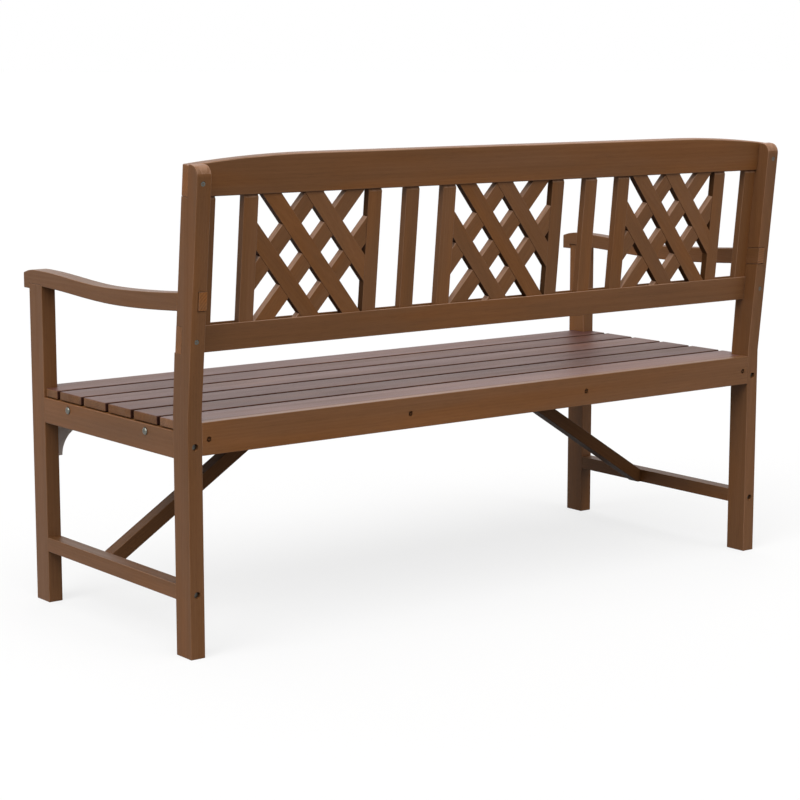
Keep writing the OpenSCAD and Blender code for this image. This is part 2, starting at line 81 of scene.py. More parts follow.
HALF = LEG_HIGH.x
LEG_X = LEG_LOW.x
FRONT = LEG_LOW.y
BACK = APRON_HIGH.y
POST_FRONT = POST_LOW.y
SEAT_Z = APRON_HIGH.z
print("length", round(2 * HALF, 3), "seat height", round(SEAT_Z, 4))

# %% [markdown]
# ## The camera
#
# The photograph was taken from behind the bench, off its left end, with the
# camera at about chest height and a long lens, which keeps the upright posts
# almost parallel. Its place was worked out from the corners of the bench. The
# camera is turned with two angles instead of a tracking constraint, because
# plain angles are easy to read and to correct.

# %% Place the camera
CAMERA_PLACE = (2.76102, 3.53838, 1.09404)
CAMERA_YAW = 37.5692
CAMERA_PITCH = 9.1593
CAMERA_LENS = 98.185
SENSOR = 36.0


def placed(name, data):
    """An object that is linked into the scene."""
    thing = bpy.data.objects.new(name, data)
    bpy.context.scene.collection.objects.link(thing)
    return thing


camera_data = bpy.data.cameras.new("camera")
camera_data.lens = CAMERA_LENS
camera_data.sensor_width = SENSOR
camera_data.clip_end = 100
camera = placed("camera", camera_data)
camera.location = CAMERA_PLACE
camera.rotation_euler = (
    math.radians(90 - CAMERA_PITCH), 0, math.radians(180 - CAMERA_YAW)
)
bpy.context.scene.camera = camera
bpy.context.scene.view_settings.view_transform = "Standard"
print("camera lens", CAMERA_LENS)

# %% [markdown]
# ## Light, floor and background
#
# The bench was photographed under a bright, even sky: its upper faces are
# light, its outer end is a little brighter than its back, and everything
# under the seat is dark. Sun lamps with a very wide angle give such a light.
# Area lamps would do too, but they fade with distance, so the white floor
# would turn grey away from the bench.

# %% Hang the lamps
# Each lamp has a direction towards it, its width in degrees and its strength.
LAMPS = (
    ("sky_light", (0.10, 0.30, 1.00), 80, 2.0),
    ("side_light", (0.80, 0.20, 0.65), 45, 2.0),
    ("back_light", (0.05, 0.95, 0.60), 60, 1.15),
    ("front_light", (-0.35, -0.80, 0.60), 60, 0.7),
)

for name, towards, angle, strength in LAMPS:
    data = bpy.data.lights.new(name, "SUN")
    data.angle = math.radians(angle)
    data.energy = strength
    lamp = placed(name, data)
    lamp.rotation_euler = Vector(towards).to_track_quat("Z", "Y").to_euler()
print("lamps", len(LAMPS))

# %% [markdown]
# The background is white to the camera and in reflections, but it lights the
# bench only faintly, so that the lamps alone decide where the shades fall. A
# dome picture could do both, but a plain white one is all that is needed.
# `add` fills in a shader node's inputs at once, with numbers or with links.

# %% Helpers that build a node tree
def empty_net(owner):
    """The cleared node tree of a material or a world."""
    owner.use_nodes = True
    owner.node_tree.nodes.clear()
    return owner.node_tree


def add(net, kind, inputs=(), **values):
    """Adds a shader node; an input takes a number, a colour or a link."""
    node = net.nodes.new(kind)
    for key, value in values.items():
        setattr(node, key, value)
    for key, value in dict(inputs).items():
        if isinstance(value, bpy.types.NodeSocket):
            net.links.new(value, node.inputs[key])
        else:
            node.inputs[key].default_value = value
    return node


def number(net, kind, first, second):
    """Works out one number from two numbers or links."""
    node = add(net, "ShaderNodeMath", {0: first, 1: second}, operation=kind)
    return node.outputs[0]


def seen_rays(net, *kinds):
    """1 for the rays of these kinds and 0 for all others."""
    rays = add(net, "ShaderNodeLightPath").outputs
    seen = rays[kinds[0]]
    for kind in kinds[1:]:
        seen = number(net, "MAXIMUM", seen, rays[kind])
    return seen


# %% Make the world white to the camera and softer as a light
FILL = (0.085, 0.078, 0.070, 1)
WHITE = (1, 1, 1, 1)

world = bpy.data.worlds.new("studio")
bpy.context.scene.world = world
net = empty_net(world)
white = seen_rays(
    net, "Is Camera Ray", "Is Glossy Ray", "Is Transmission Ray"
)
either = add(net, "ShaderNodeMixShader", {
    "Fac": white,
    1: add(net, "ShaderNodeBackground", {"Color": FILL}).outputs[0],
    2: add(net, "ShaderNodeBackground", {"Color": WHITE}).outputs[0],
})
add(net, "ShaderNodeOutputWorld", {"Surface": either.outputs[0]})
print("world nodes", len(net.nodes))

# %% [markdown]
# The floor is a big flat sheet of grey paper. For the camera and in
# reflections a soft glow is added to it, which lifts it to the background's
# white where no shadow falls. The paper itself stays grey, so that it throws
# little light up under the seat, and the bench's shadow stays on it.

# %% Lay the floor
FLOOR_RADIUS = 400
PAPER = (0.18, 0.18, 0.18, 1)
GLOW = 0.76


def mesh_from(bm, name):
    """Turns a bmesh into a mesh."""
    mesh = bpy.data.meshes.new(name)
    bm.to_mesh(mesh)
    bm.free()
    return mesh


sheet = bmesh.new()
bmesh.ops.create_circle(
    sheet, cap_ends=True, segments=64, radius=FLOOR_RADIUS
)
floor = placed("floor", mesh_from(sheet, "floor"))

paper = bpy.data.materials.new("paper")
net = empty_net(paper)
seen = seen_rays(net, "Is Camera Ray", "Is Glossy Ray")
matte = add(net, "ShaderNodeBsdfDiffuse", {"Color": PAPER})
glow = add(
    net, "ShaderNodeEmission",
    {"Strength": number(net, "MULTIPLY", seen, GLOW)},
)
both = add(
    net, "ShaderNodeAddShader", {0: matte.outputs[0], 1: glow.outputs[0]}
)
add(net, "ShaderNodeOutputMaterial", {"Surface": both.outputs[0]})
floor.data.materials.append(paper)
print("floor radius", FLOOR_RADIUS)

# %% [markdown]
# ## The stained timber
#
# The boards are softwood under a brown, half-covering satin stain. Close up there
# are faint growth rings, long soft streaks, fine dark pores along the grain, paler
# edges and mottled end grain; the paler edges are partly rubbed and partly a
# painted highlight. A picture of wood could be wrapped round each board, but then
# the grain would stretch and repeat. Here the wood is computed as a solid, as in a
# real log: each board carries an attribute called `grain`, in which X runs along
# the board and the other two numbers tell how far a place is from the heart of the
# log. Rings round the X axis then give arcs on the ends and lines on the faces by
# themselves, and each board is cut from another place of the log.

# %% Helpers that make patterns and mix colours
def scaled(net, source, scale):
    """Stretches a coordinate by a different amount along each axis."""
    values = {"Vector": source, "Scale": scale}
    return add(net, "ShaderNodeMapping", values).outputs["Vector"]


def noise(net, source, scale, detail, rough, warp=0.0):
    """Noise that is stretched along the grain."""
    return add(net, "ShaderNodeTexNoise", {
        "Vector": scaled(net, source, scale), "Scale": 1.0,
        "Detail": detail, "Roughness": rough, "Distortion": warp,
    }).outputs["Fac"]


def ramp(net, source, stops):
    """Colours a value between 0 and 1 by the given stops."""
    node = add(net, "ShaderNodeValToRGB", {"Fac": source})
    elements = node.color_ramp.elements
    while len(elements) > 1:
        elements.remove(elements[-1])
    elements[0].position, elements[0].color = stops[0]
    for place, colour in stops[1:]:
        elements.new(place).color = colour
    return node.outputs["Color"]


def blend(net, kind, factor, first, second):
    """Mixes two colours; a factor or colour may be a value or a link."""
    node = add(
        net, "ShaderNodeMix", {"Factor": factor, 6: first, 7: second},
        data_type="RGBA", blend_type=kind,
    )
    return node.outputs[2]


def weighted(net, patterns, weights):
    """Adds up several patterns, each with its own weight."""
    total = None
    for name, weight in weights.items():
        share = number(net, "MULTIPLY", patterns[name], weight)
        total = share if total is None else number(net, "ADD", total, share)
    return total


def shiny_body(net, colour, rough, bump, inputs):
    """Ends a material with one body and its output."""
    body = add(net, "ShaderNodeBsdfPrincipled", {
        "Base Color": colour, "Roughness": rough.outputs["Result"],
        "Normal": bump.outputs["Normal"], **inputs,
    })
    add(net, "ShaderNodeOutputMaterial", {"Surface": body.outputs[0]})


# %% Patterns of the wood
RING_SCALE = 62
RING_STRETCH = (0.07, 1, 1)
RING_BEND = {"Distortion": 2.6, "Detail": 2.0, "Detail Scale": 0.12}
# Each noise has its stretch, its detail, its roughness and its warp.
NOISES = {
    "streaks": ((1.3, 34, 34), 4, 0.55, 0.4),
    "figure": ((5, 130, 130), 5, 0.62, 0.6),
    "fibres": ((9, 620, 620), 3, 0.6),
    "pores": ((34, 1300, 1300), 2, 0.6),
    "patches": ((3.5, 8, 8), 3, 0.5),
    "warmth": ((2.2, 17, 17), 2, 0.5, 0.3),
    "specks": ((300, 900, 900), 3, 0.7),
}
TONE_WEIGHTS = {
    "streaks": 0.34, "figure": 0.20, "fibres": 0.16, "rings": 0.05,
    "patches": 0.25,
}
RELIEF_WEIGHTS = {"pores": 0.8, "fibres": 0.5, "figure": 0.5, "rings": 0.12}
# Each mask goes from one grey to another between two values of its pattern.
MASKS = {
    "pores": ((0.33, 0.70), (0.47, 1)),
    "rings": ((0.15, 1.16), (0.85, 0.86)),
    "specks": ((0.35, 0.86), (0.62, 1.14)),
    "figure": ((0.38, 0.30), (0.60, 1)),
}
WARMTH = (
    (0.36, (0.96, 0.99, 1.08, 1)), (0.50, WHITE),
    (0.66, (1.08, 0.99, 0.80, 1)),
)


def wood_patterns(net, at):
    """Growth rings round the grain's X axis, and all the noises."""
    rings = add(
        net, "ShaderNodeTexWave",
        {"Vector": scaled(net, at, RING_STRETCH), "Scale": RING_SCALE,
         **RING_BEND},
        wave_type="RINGS", rings_direction="X", wave_profile="SIN",
    )
    wood = {name: noise(net, at, *values) for name, values in NOISES.items()}
    wood["rings"] = rings.outputs["Fac"]
    return wood


def wood_mask(net, wood, name):
    """A grey that follows one pattern."""
    stops = [(place, (grey, grey, grey, 1)) for place, grey in MASKS[name]]
    return ramp(net, wood[name], stops)


# %% Build the stained timber
TONE_PLACES = (0.36, 0.49, 0.63)
PORE_STRENGTH = 0.6
# The paler colour of worn faces; it is also the colour of the painted highlight on
# edges and on faces that look up to the light.
RUBBED_AND_LIT = (0.285, 0.160, 0.098, 1)
RELIEF = {"Strength": 0.30, "Distance": 0.5 * MM}
ROUGH_PLAY = 0.07


def stained_timber(name, tones, gloss, shine, end_tone=WHITE):
    """A brown stain over softwood, from its deep, middle and light tone."""
    material = bpy.data.materials.new(name)
    net = empty_net(material)
    grain, tone_and_shade, wear_highlight, ends = (
        add(net, "ShaderNodeAttribute", attribute_name=title).outputs
        for title in ("grain", "tone_and_shade", "wear_and_highlight", "end_grain")
    )
    wood = wood_patterns(net, grain["Vector"])
    tone = weighted(net, wood, TONE_WEIGHTS)
    colour = ramp(net, tone, list(zip(TONE_PLACES, tones)))
    warmth = ramp(net, wood["warmth"], WARMTH)
    colour = blend(net, "MULTIPLY", 1.0, colour, warmth)
    pores = wood_mask(net, wood, "pores")
    colour = blend(net, "MULTIPLY", PORE_STRENGTH, colour, pores)
    end_colour = blend(net, "MULTIPLY", 1.0, colour, end_tone)
    for pattern in ("rings", "specks"):
        mask = wood_mask(net, wood, pattern)
        end_colour = blend(net, "MULTIPLY", 1.0, end_colour, mask)
    colour = blend(net, "MIX", ends["Fac"], colour, end_colour)
    # Faces marked as paler take that colour through the wood's figure: partly
    # wear, partly painted highlight.
    thin = number(
        net, "MULTIPLY", wear_highlight["Fac"], wood_mask(net, wood, "figure")
    )
    colour = blend(net, "MIX", thin, colour, RUBBED_AND_LIT)
    # This darkens each face by its board's own tone and by painted shade in gaps,
    # corners and under things.
    shaded = add(
        net, "ShaderNodeHueSaturation", {"Value": tone_and_shade["Fac"], "Color": colour}
    )
    height = weighted(net, wood, RELIEF_WEIGHTS)
    bump = add(net, "ShaderNodeBump", {"Height": height, **RELIEF})
    rough = add(net, "ShaderNodeMapRange", {
        "Value": tone, "From Min": 0.3, "From Max": 0.7,
        "To Min": gloss + ROUGH_PLAY, "To Max": gloss - ROUGH_PLAY,
    })
    # The same factor, squared, also dims the gloss, so faces with painted shade
    # reflect less.
    gloss_in_shade = number(net, "MULTIPLY", tone_and_shade["Fac"], tone_and_shade["Fac"])
    polish = number(net, "MULTIPLY", gloss_in_shade, shine)
    shiny_body(
        net, shaded.outputs["Color"], rough, bump,
        {"Specular IOR Level": polish},
    )
    return material


# %% Mix the stain for each group of boards
BROWN = (
    (0.130, 0.0555, 0.0195, 1), (0.151, 0.0645, 0.0235, 1),
    (0.177, 0.0775, 0.0305, 1),
)
# The seat is darker and less red than the frame: its own darker tone with a
# painted bluish sheen of the sky mixed in; its end grain is lifted back to plain
# brown.
SEAT_BROWN_AND_SHEEN = (
    (0.058, 0.0220, 0.0155, 1), (0.084, 0.0325, 0.0235, 1),
    (0.120, 0.0500, 0.0370, 1),
)
BRACKET_GREY = (
    (0.720, 0.600, 0.520, 1), (0.790, 0.670, 0.590, 1),
    (0.850, 0.740, 0.660, 1),
)
# End grain is lighter; on the posts' rounded tops this is partly a painted
# highlight.
FRAME_END_AND_HIGHLIGHT = (1.30, 1.25, 1.20, 1)
SEAT_END = (1.80, 2.10, 1.25, 1)
# Each stain has its tones, its roughness, its shine and its end grain's tone.
STAINS = {
    "frame_timber": (BROWN, 0.46, 0.15, FRAME_END_AND_HIGHLIGHT),
    "seat_timber": (SEAT_BROWN_AND_SHEEN, 0.50, 0.14, SEAT_END),
    "back_timber": (BROWN, 0.48, 0.15, FRAME_END_AND_HIGHLIGHT),
    "lattice_timber": (BROWN, 0.48, 0.15),
    "bracket_timber": (BRACKET_GREY, 0.55, 0.20),
}
timbers = {
    name: stained_timber(name, *values) for name, values in STAINS.items()
}
print("timbers", sorted(timbers))

# %% [markdown]
# ## The zinc plated steel
#
# The bolts and screws are plated with zinc, which has a soft mottle and a few
# duller spots. A mirror-like metal would look too new, so noise moves the
# roughness and the colour a little. Only the side bolts lie in full light; the
# bolts deep in the legs' counterbores and the screws in the posts are given a
# darker, duller zinc, which is partly painted shade. The screws of the aprons were
# stained over together with the wood.

# %% Build the metals
ZINC = (0.17, 0.17, 0.150, 1)
ZINC_DULL = (0.10, 0.10, 0.085, 1)
# Darker zinc for the heads in counterbores and on the posts: partly painted shade.
ZINC_PAINTED_SHADE = (0.13, 0.13, 0.115, 1)
ZINC_PAINTED_SHADE_DULL = (0.05, 0.05, 0.04, 1)
STAINED = (0.105, 0.047, 0.018, 1)
STAINED_DARK = (0.045, 0.020, 0.008, 1)
MOTTLE = (700, 700, 700)
SPOTS = (240, 240, 240)
PLATE_RELIEF = {"Strength": 0.15, "Distance": 0.2 * MM}


def plate(name, bright, dull, metal, smooth):
    """Plated steel with a faint mottle; metal is 0 where stain covers it."""
    material = bpy.data.materials.new(name)
    net = empty_net(material)
    at = add(net, "ShaderNodeTexCoord").outputs["Object"]
    mottle = noise(net, at, MOTTLE, 3, 0.6)
    spots = noise(net, at, SPOTS, 2, 0.5)
    colour = ramp(net, mottle, ((0.30, dull), (0.55, bright)))
    rough = add(net, "ShaderNodeMapRange", {
        "Value": spots, "To Min": smooth, "To Max": smooth + 0.2,
    })
    bump = add(net, "ShaderNodeBump", {"Height": mottle, **PLATE_RELIEF})
    shiny_body(net, colour, rough, bump, {"Metallic": metal})
    return material


METALS = {
    "bright_zinc": (ZINC, ZINC_DULL, 1.0, 0.22),
    "dull_zinc_in_shade": (ZINC_PAINTED_SHADE, ZINC_PAINTED_SHADE_DULL, 1.0, 0.34),
    "stained_steel": (STAINED, STAINED_DARK, 0.0, 0.40),
}
metals = {name: plate(name, *values) for name, values in METALS.items()}
print("metals", sorted(metals))

# %% [markdown]
# ## From a bmesh to a finished board
#
# Every board ends the same way. Its edges are eased with a small bevel, as
# sandpaper does, and the faces that the bevel makes are marked to be paler: partly
# wear, partly a painted highlight. Then its grain is laid: the direction that the
# board was cut along becomes the X of its `grain` attribute. Faces that look along
# that direction are end grain.

# %% Helpers that ease edges
# An easing has a width, a number of steps and how much paler its rounding is:
# partly wear, partly a painted highlight.
EASE = (1.1 * MM, 3, 0.35)
SHARP = math.radians(28)


def round_off(bm, edges, width, segments, clamp=False):
    """Rounds some edges and gives back the new faces."""
    return bmesh.ops.bevel(
        bm, geom=edges, offset=width, offset_type="OFFSET",
        segments=segments, profile=0.5, affect="EDGES", material=-1,
        clamp_overlap=clamp,
    )["faces"]


def ease_edges(bm, width=EASE[0], segments=EASE[1], wear_and_light=EASE[2]):
    """Rounds every sharp edge, marks its rounding paler as wear and painted
    highlight, and gives the board back.
    """
    bmesh.ops.recalc_face_normals(bm, faces=bm.faces[:])
    wear_highlight = bm.faces.layers.float.get("wear_and_highlight")
    if wear_highlight is None:
        wear_highlight = bm.faces.layers.float.new("wear_and_highlight")
    sharp = [
        edge for edge in bm.edges
        if edge.is_manifold and edge.calc_face_angle() > SHARP
    ]
    for face in round_off(bm, sharp, width, segments, clamp=True):
        face[wear_highlight] = wear_and_light
    return bm


# %% A helper that paints faces paler, as a painted highlight
# A painted highlight has the direction that the faces look in, a reach and a
# paleness; on the seat's front edges it is partly wear too.
def rub_and_light(bm, facing, reach, wear_and_light, test=lambda spot: True):
    """Marks the faces that look within reach of a direction as paler, as a painted
    highlight.
    """
    wear_highlight = bm.faces.layers.float["wear_and_highlight"]
    facing = Vector(facing).normalized()
    for face in bm.faces:
        spot = face.calc_center_median()
        if face.normal.dot(facing) > reach and test(spot):
            face[wear_highlight] = wear_and_light


# %% A helper that lays the grain
LOG_HEART = (45 * MM, 130 * MM)
LOG_STEP = 2.7
HEART_STEP = 0.618
GOLDEN = 2.399963
SHADE_STEP = 0.414
SHADE_BASE = 0.95
SHADE_PLAY = 0.10
END_LIMIT = 0.75
SIDE_LIMIT = 0.9
UNDER_LIMIT = -0.4
UNDER_PAINTED_SHADE = 0.35


def lay_grain(mesh, along, flat, order, shade=None, side_shade=1.0):
    """Writes the attributes that the timber material reads."""
    along = Vector(along).normalized()
    flat = Vector(flat)
    flat = (flat - along * flat.dot(along)).normalized()
    axes = Matrix((along, flat, along.cross(flat)))
    corners = [vertex.co for vertex in mesh.vertices]
    centre = sum(corners, Vector()) / len(corners)
    near, far = LOG_HEART
    heart = near + (far - near) * ((order * HEART_STEP) % 1)
    start = Vector((
        order * LOG_STEP,
        heart * math.cos(order * GOLDEN), heart * math.sin(order * GOLDEN),
    ))
    grain = mesh.attributes.new("grain", "FLOAT_VECTOR", "POINT")
    for vertex, item in zip(mesh.vertices, grain.data):
        item.vector = start + axes @ (vertex.co - centre)
    # This attribute darkens each face by the board's own tone, and by painted
    # shade on the faces below and wherever a caller asks for it.
    tone_and_shade = mesh.attributes.new("tone_and_shade", "FLOAT", "FACE")
    ends = mesh.attributes.new("end_grain", "FLOAT", "FACE")
    if shade is None:
        shade = SHADE_BASE + SHADE_PLAY * ((order * SHADE_STEP) % 1)
    for face in mesh.polygons:
        # Faces that look along flat take the side factor: painted shade in the
        # seat's gaps, beside the right stiles and on the stretchers; on the arms
        # it darkens the top and the underside.
        side_on = abs(face.normal.dot(flat)) > SIDE_LIMIT
        tone = shade * (side_shade if side_on else 1)
        # Faces that look down are painted darker: painted shade under things.
        if face.normal.z < UNDER_LIMIT:
            tone = tone * UNDER_PAINTED_SHADE
        tone_and_shade.data[face.index].value = tone
        facing = abs(face.normal.dot(along))
        ends.data[face.index].value = float(facing > END_LIMIT)


# %% [markdown]
# Bolts sit in round holes, and the arm's tail sits in a notch. Both are cut
# the way a drill or a router cuts them: a cutter is shaped, and the Boolean
# modifier takes it out of the board. A hole could be modelled into the face
# by hand, but that needs a ring of faces to be stitched in for each one.

# %% Helpers that cut with the Boolean modifier
def discard(thing):
    """Removes an object and its mesh."""
    mesh = thing.data
    bpy.data.objects.remove(thing)
    bpy.data.meshes.remove(mesh)


def cut_out(piece, cutters):
    """Takes each cutter out of a piece and keeps the result as its mesh."""
    for cutter in cutters:
        bmesh.ops.recalc_face_normals(cutter, faces=cutter.faces[:])
        step = piece.modifiers.new("cut", "BOOLEAN")
        step.operation = "DIFFERENCE"
        step.solver = "EXACT"
        step.object = placed("cutter", mesh_from(cutter, "cutter"))
    bpy.context.view_layer.update()
    graph = bpy.context.evaluated_depsgraph_get()
    result = bpy.data.meshes.new_from_object(piece.evaluated_get(graph))
    for step in piece.modifiers:
        discard(step.object)
    piece.modifiers.clear()
    old = piece.data
    piece.data = result
    bpy.data.meshes.remove(old)


# %% [markdown]
# A board with eased edges looks like a cushion if its flat faces are shaded
# as one with the small rounded ones. The Weighted Normal modifier lets the
# large faces decide, so they stay flat and only the rounding is soft.

# %% A helper that turns a bmesh into a piece of the bench
CREASE = math.radians(50)
board_count = 0
made = {}


def keep(name, bm, slot="frame_timber", along=None, flat=(0, 0, 1),
         cutters=(), shade=None, side_shade=1.0, material=None):
    """Makes the bmesh a piece that stands for the solid of that name."""
    global board_count
    board_count += 1
    bmesh.ops.recalc_face_normals(bm, faces=bm.faces[:])
    piece = placed(name + "_piece", mesh_from(bm, name + "_mesh"))
    if cutters:
        cut_out(piece, cutters)
    mesh = piece.data
    if along is not None:
        lay_grain(mesh, along, flat, board_count, shade, side_shade)
    for face in mesh.polygons:
        face.use_smooth = True
    mesh.set_sharp_from_angle(angle=CREASE)
    mesh.materials.clear()
    mesh.materials.append(material or timbers[slot])
    even = piece.modifiers.new("even_shading", "WEIGHTED_NORMAL")
    even.weight = 100
    even.keep_sharp = True
    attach(piece, "root")
    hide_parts(name)
    made[name] = piece


# %% [markdown]
# ## Boards cut square
#
# Most pieces of the bench are plain boards. A cube is the natural start: it
# is stretched between the two corners that the solid gives, and its edges are
# eased. `board` leaves the easing to the caller, because some boards are cut
# further first.

# %% Helpers that make boards
def moved(bm, matrix):
    """Moves or turns a bmesh and gives it back."""
    bmesh.ops.transform(bm, matrix=matrix, verts=bm.verts[:])
    return bm


def board(low, high):
    """A bmesh box between two corners."""
    low, high = Vector(low), Vector(high)
    bm = bmesh.new()
    bmesh.ops.create_cube(bm, size=1.0)
    stretch = Matrix.Diagonal((*(high - low), 1.0))
    return moved(bm, Matrix.Translation((low + high) / 2) @ stretch)


def saw(bm, spot, normal):
    """Cuts off what lies beyond a plane and closes the cut."""
    everything = bm.verts[:] + bm.edges[:] + bm.faces[:]
    cut = bmesh.ops.bisect_plane(
        bm, geom=everything, plane_co=spot, plane_no=normal,
        clear_outer=True, dist=1e-7,
    )
    rim = [
        part for part in cut["geom_cut"]
        if isinstance(part, bmesh.types.BMEdge)
    ]
    if rim:
        bmesh.ops.holes_fill(bm, edges=rim)


def saw_to(bm, low, high):
    """Saws a bar off where it leaves a box at its sides, top and bottom."""
    for axis in (Vector((1, 0, 0)), Vector((0, 0, 1))):
        saw(bm, high, axis)
        saw(bm, low, -axis)


def outline(points, push):
    """A flat outline that is pushed out to a thick plate."""
    bm = bmesh.new()
    face = bm.faces.new([bm.verts.new(point) for point in points])
    grown = bmesh.ops.extrude_face_region(bm, geom=[face])
    corners = [
        part for part in grown["geom"] if isinstance(part, bmesh.types.BMVert)
    ]
    bmesh.ops.translate(bm, verts=corners, vec=push)
    return bm


def merge(whole, part):
    """Puts one bmesh into another."""
    mesh = mesh_from(part, "part")
    whole.from_mesh(mesh)
    bpy.data.meshes.remove(mesh)


# %% Helpers that make rods and cones
def facing_out(spot, axis):
    """The matrix that turns +Z to an axis and moves it to a spot."""
    turn = Vector((0, 0, 1)).rotation_difference(Vector(axis))
    return Matrix.Translation(spot) @ turn.to_matrix().to_4x4()


def cylinder(spot, axis, radius, length, segments=32, tip=None):
    """A bmesh rod or cone that starts at a spot and runs along an axis."""
    bm = bmesh.new()
    bmesh.ops.create_cone(
        bm, cap_ends=True, segments=segments, radius1=radius,
        radius2=radius if tip is None else tip, depth=length,
    )
    centre = Vector(spot) + Vector(axis).normalized() * length / 2
    return moved(bm, facing_out(centre, axis))


# %% A helper for countersinks
SINK_OUT = 0.1 * MM


def countersink(place, facing, radius, spread):
    """A cone that opens the rim of a fastener's hole."""
    facing = Vector(facing).normalized()
    start = Vector(place) + facing * SINK_OUT
    return cylinder(
        start, -facing, radius + spread, spread + SINK_OUT, tip=radius
    )


# %% [markdown]
# ## The end frames
#
# Each end of the bench is a frame: a front leg, a raked rear post, an apron
# level with the seat, a stretcher near the ground and an arm. Both ends are
# mirror images, so each piece is drawn on the left and mirrored to the right.

# %% A helper that makes both ends
SIDES = {"left": 1, "right": -1}


def mirrored(bm, side):
    """Flips a bmesh to the other end of the bench."""
    if SIDES[side] < 0:
        bmesh.ops.scale(bm, vec=(-1, 1, 1), verts=bm.verts[:])
        bmesh.ops.reverse_faces(bm, faces=bm.faces[:])
    return bm


COUNTERBORE_R = 6.5 * MM
COUNTERBORE_D = 12 * MM
LEG_MIDDLE = (HALF + LEG_X) / 2
SIDE_APRON_LOW, SIDE_APRON_HIGH = vectors(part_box("side_apron_left"))
STRETCHER_LOW, STRETCHER_HIGH = vectors(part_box("side_stretcher_left"))
BOLT_HEIGHTS = (
    (SIDE_APRON_LOW.z + SIDE_APRON_HIGH.z) / 2,
    (STRETCHER_LOW.z + STRETCHER_HIGH.z) / 2,
)


def bolt_holes(side, y, direction):
    """Cutters for the counterbores of a leg's two bolts."""
    return [
        cylinder((SIDES[side] * LEG_MIDDLE, y - direction * MM, z),
                 (0, direction, 0), COUNTERBORE_R, COUNTERBORE_D + MM)
        for z in BOLT_HEIGHTS
    ]


print("bolt heights", [round(z, 4) for z in BOLT_HEIGHTS])

# %% Front legs
LEG_TOP = 637 * MM
for side in SIDES:
    leg = ease_edges(board(LEG_LOW, (HALF, LEG_HIGH.y, LEG_TOP)))
    keep(
        "front_leg_" + side, mirrored(leg, side), along=(0, 0, 1),
        flat=(1, 0, 0), cutters=bolt_holes(side, FRONT, 1),
    )

# %% [markdown]
# ### Rear posts
#
# A rear post is sawn from a wider board: it stands upright as far as the seat
# and then leans back, and its top rear corner is rounded. It has a notch for
# each rail of the back. Drawn from the side, it is one outline, so it is made
# as a flat face that is pushed out to the post's width. A bevel with a large
# radius rounds the corner. The notch for the arm's tail is cut afterwards.

# %% Values of the leaning back
RAKE = math.radians(5.8)
KNEE = 445 * MM
POST_P = (BACK - POST_FRONT) * math.cos(RAKE)
POST_RUN = 454.5 * MM
POST_R = 20 * MM
LOW_FOOT = 114 * MM
LOW_TOP = 164 * MM
LOW_RAIL_T = 20 * MM
TOP_FOOT = 395.5 * MM
TOP_CROWN = 467.5 * MM
TOP_RAIL_T = 21 * MM
LEAN = Matrix.Translation((0, POST_FRONT, KNEE)) @ Matrix.Rotation(
    -RAKE, 4, "X"
)


def lean(x, depth, up):
    """A point of the leaning back: depth from its front face, up the lean."""
    return LEAN @ Vector((x, depth, up))


# %% Values of the arms
ARM_W = 33 * MM
ARM_T = 28 * MM
ARM_NOSE = 22 * MM
NOSE_DROP = 10 * MM
NOSE_R = 4 * MM
NOSE_FALL = 8 * MM
NOSE_L = 42 * MM
ARM_HOUSING = 2.5 * MM
ARM_DIP = 11 * MM
ARM_BELLY = 10.5 * MM
ARM_LAP = 17 * MM
ARM_TAIL_GAP = 28.5 * MM
ARM_TAIL_Z = KNEE + LOW_TOP * math.cos(RAKE) + ARM_TAIL_GAP
ARM_TAIL_T = 34 * MM
ARM_PAST = 55 * MM
ARM_FOOT = 10 * MM
ARM_STEPS = 44
NOSE_STEPS = 6

POST_Y = POST_FRONT - FRONT
LEG_D = LEG_HIGH.y - FRONT
ARM_TOP = LEG_TOP + ARM_T
ARM_UNDER = LEG_TOP - ARM_HOUSING
ARM_START = LEG_D / 2
ARM_LOW = 0.55 * POST_Y
ARM_TURN = 0.5 * POST_Y
ARM_FAR = 1.9 * POST_Y
BELLY_LOW = 0.61 * POST_Y
BELLY_TURN = 0.6 * POST_Y
BELLY_FAR = 1.425 * POST_Y
ARM_END = BACK - FRONT + ARM_PAST
TAIL_Y = POST_Y + LEG_D + (
    ARM_TAIL_Z + ARM_TAIL_T / 2 - KNEE
) * math.tan(RAKE)


def ease(first, last, y):
    """A soft step from 0 to 1 between two places."""
    part = min(1, max(0, (y - first) / (last - first)))
    return (1 - math.cos(math.pi * part)) / 2


ARM_RISE = (ARM_TAIL_Z + ARM_TAIL_T - ARM_TOP + ARM_DIP) / ease(
    ARM_TURN, ARM_FAR, TAIL_Y
)
ARM_LIFT = (ARM_TAIL_Z - ARM_UNDER + ARM_BELLY) / ease(
    BELLY_TURN, BELLY_FAR, TAIL_Y
)


def arm_upper(y):
    """Height of the arm's top at a distance behind the leg's front."""
    ahead = max(0, NOSE_L - ARM_NOSE - y) / NOSE_L
    return (
        ARM_TOP - NOSE_FALL * ahead ** 2
        - ARM_DIP * ease(ARM_START, ARM_LOW, y)
        + ARM_RISE * ease(ARM_TURN, ARM_FAR, y)
    )


def arm_lower(y):
    """Height of the arm's underside at the same distance."""
    return (
        ARM_UNDER - ARM_BELLY * ease(ARM_START, BELLY_LOW, y)
        + ARM_LIFT * ease(BELLY_TURN, BELLY_FAR, y)
    )


# %% Helpers that draw the arm from the side
def spaced(first, last, steps):
    """Evenly spaced numbers from the first to the last."""
    return [first + (last - first) * k / steps for k in range(steps + 1)]


def quarter_turn(steps):
    """Angles from 0 to a right angle."""
    return spaced(0, math.pi / 2, steps)


def stations(first):
    """Distances at which the arm's outline is drawn, from the first on."""
    return spaced(first, ARM_END, ARM_STEPS)


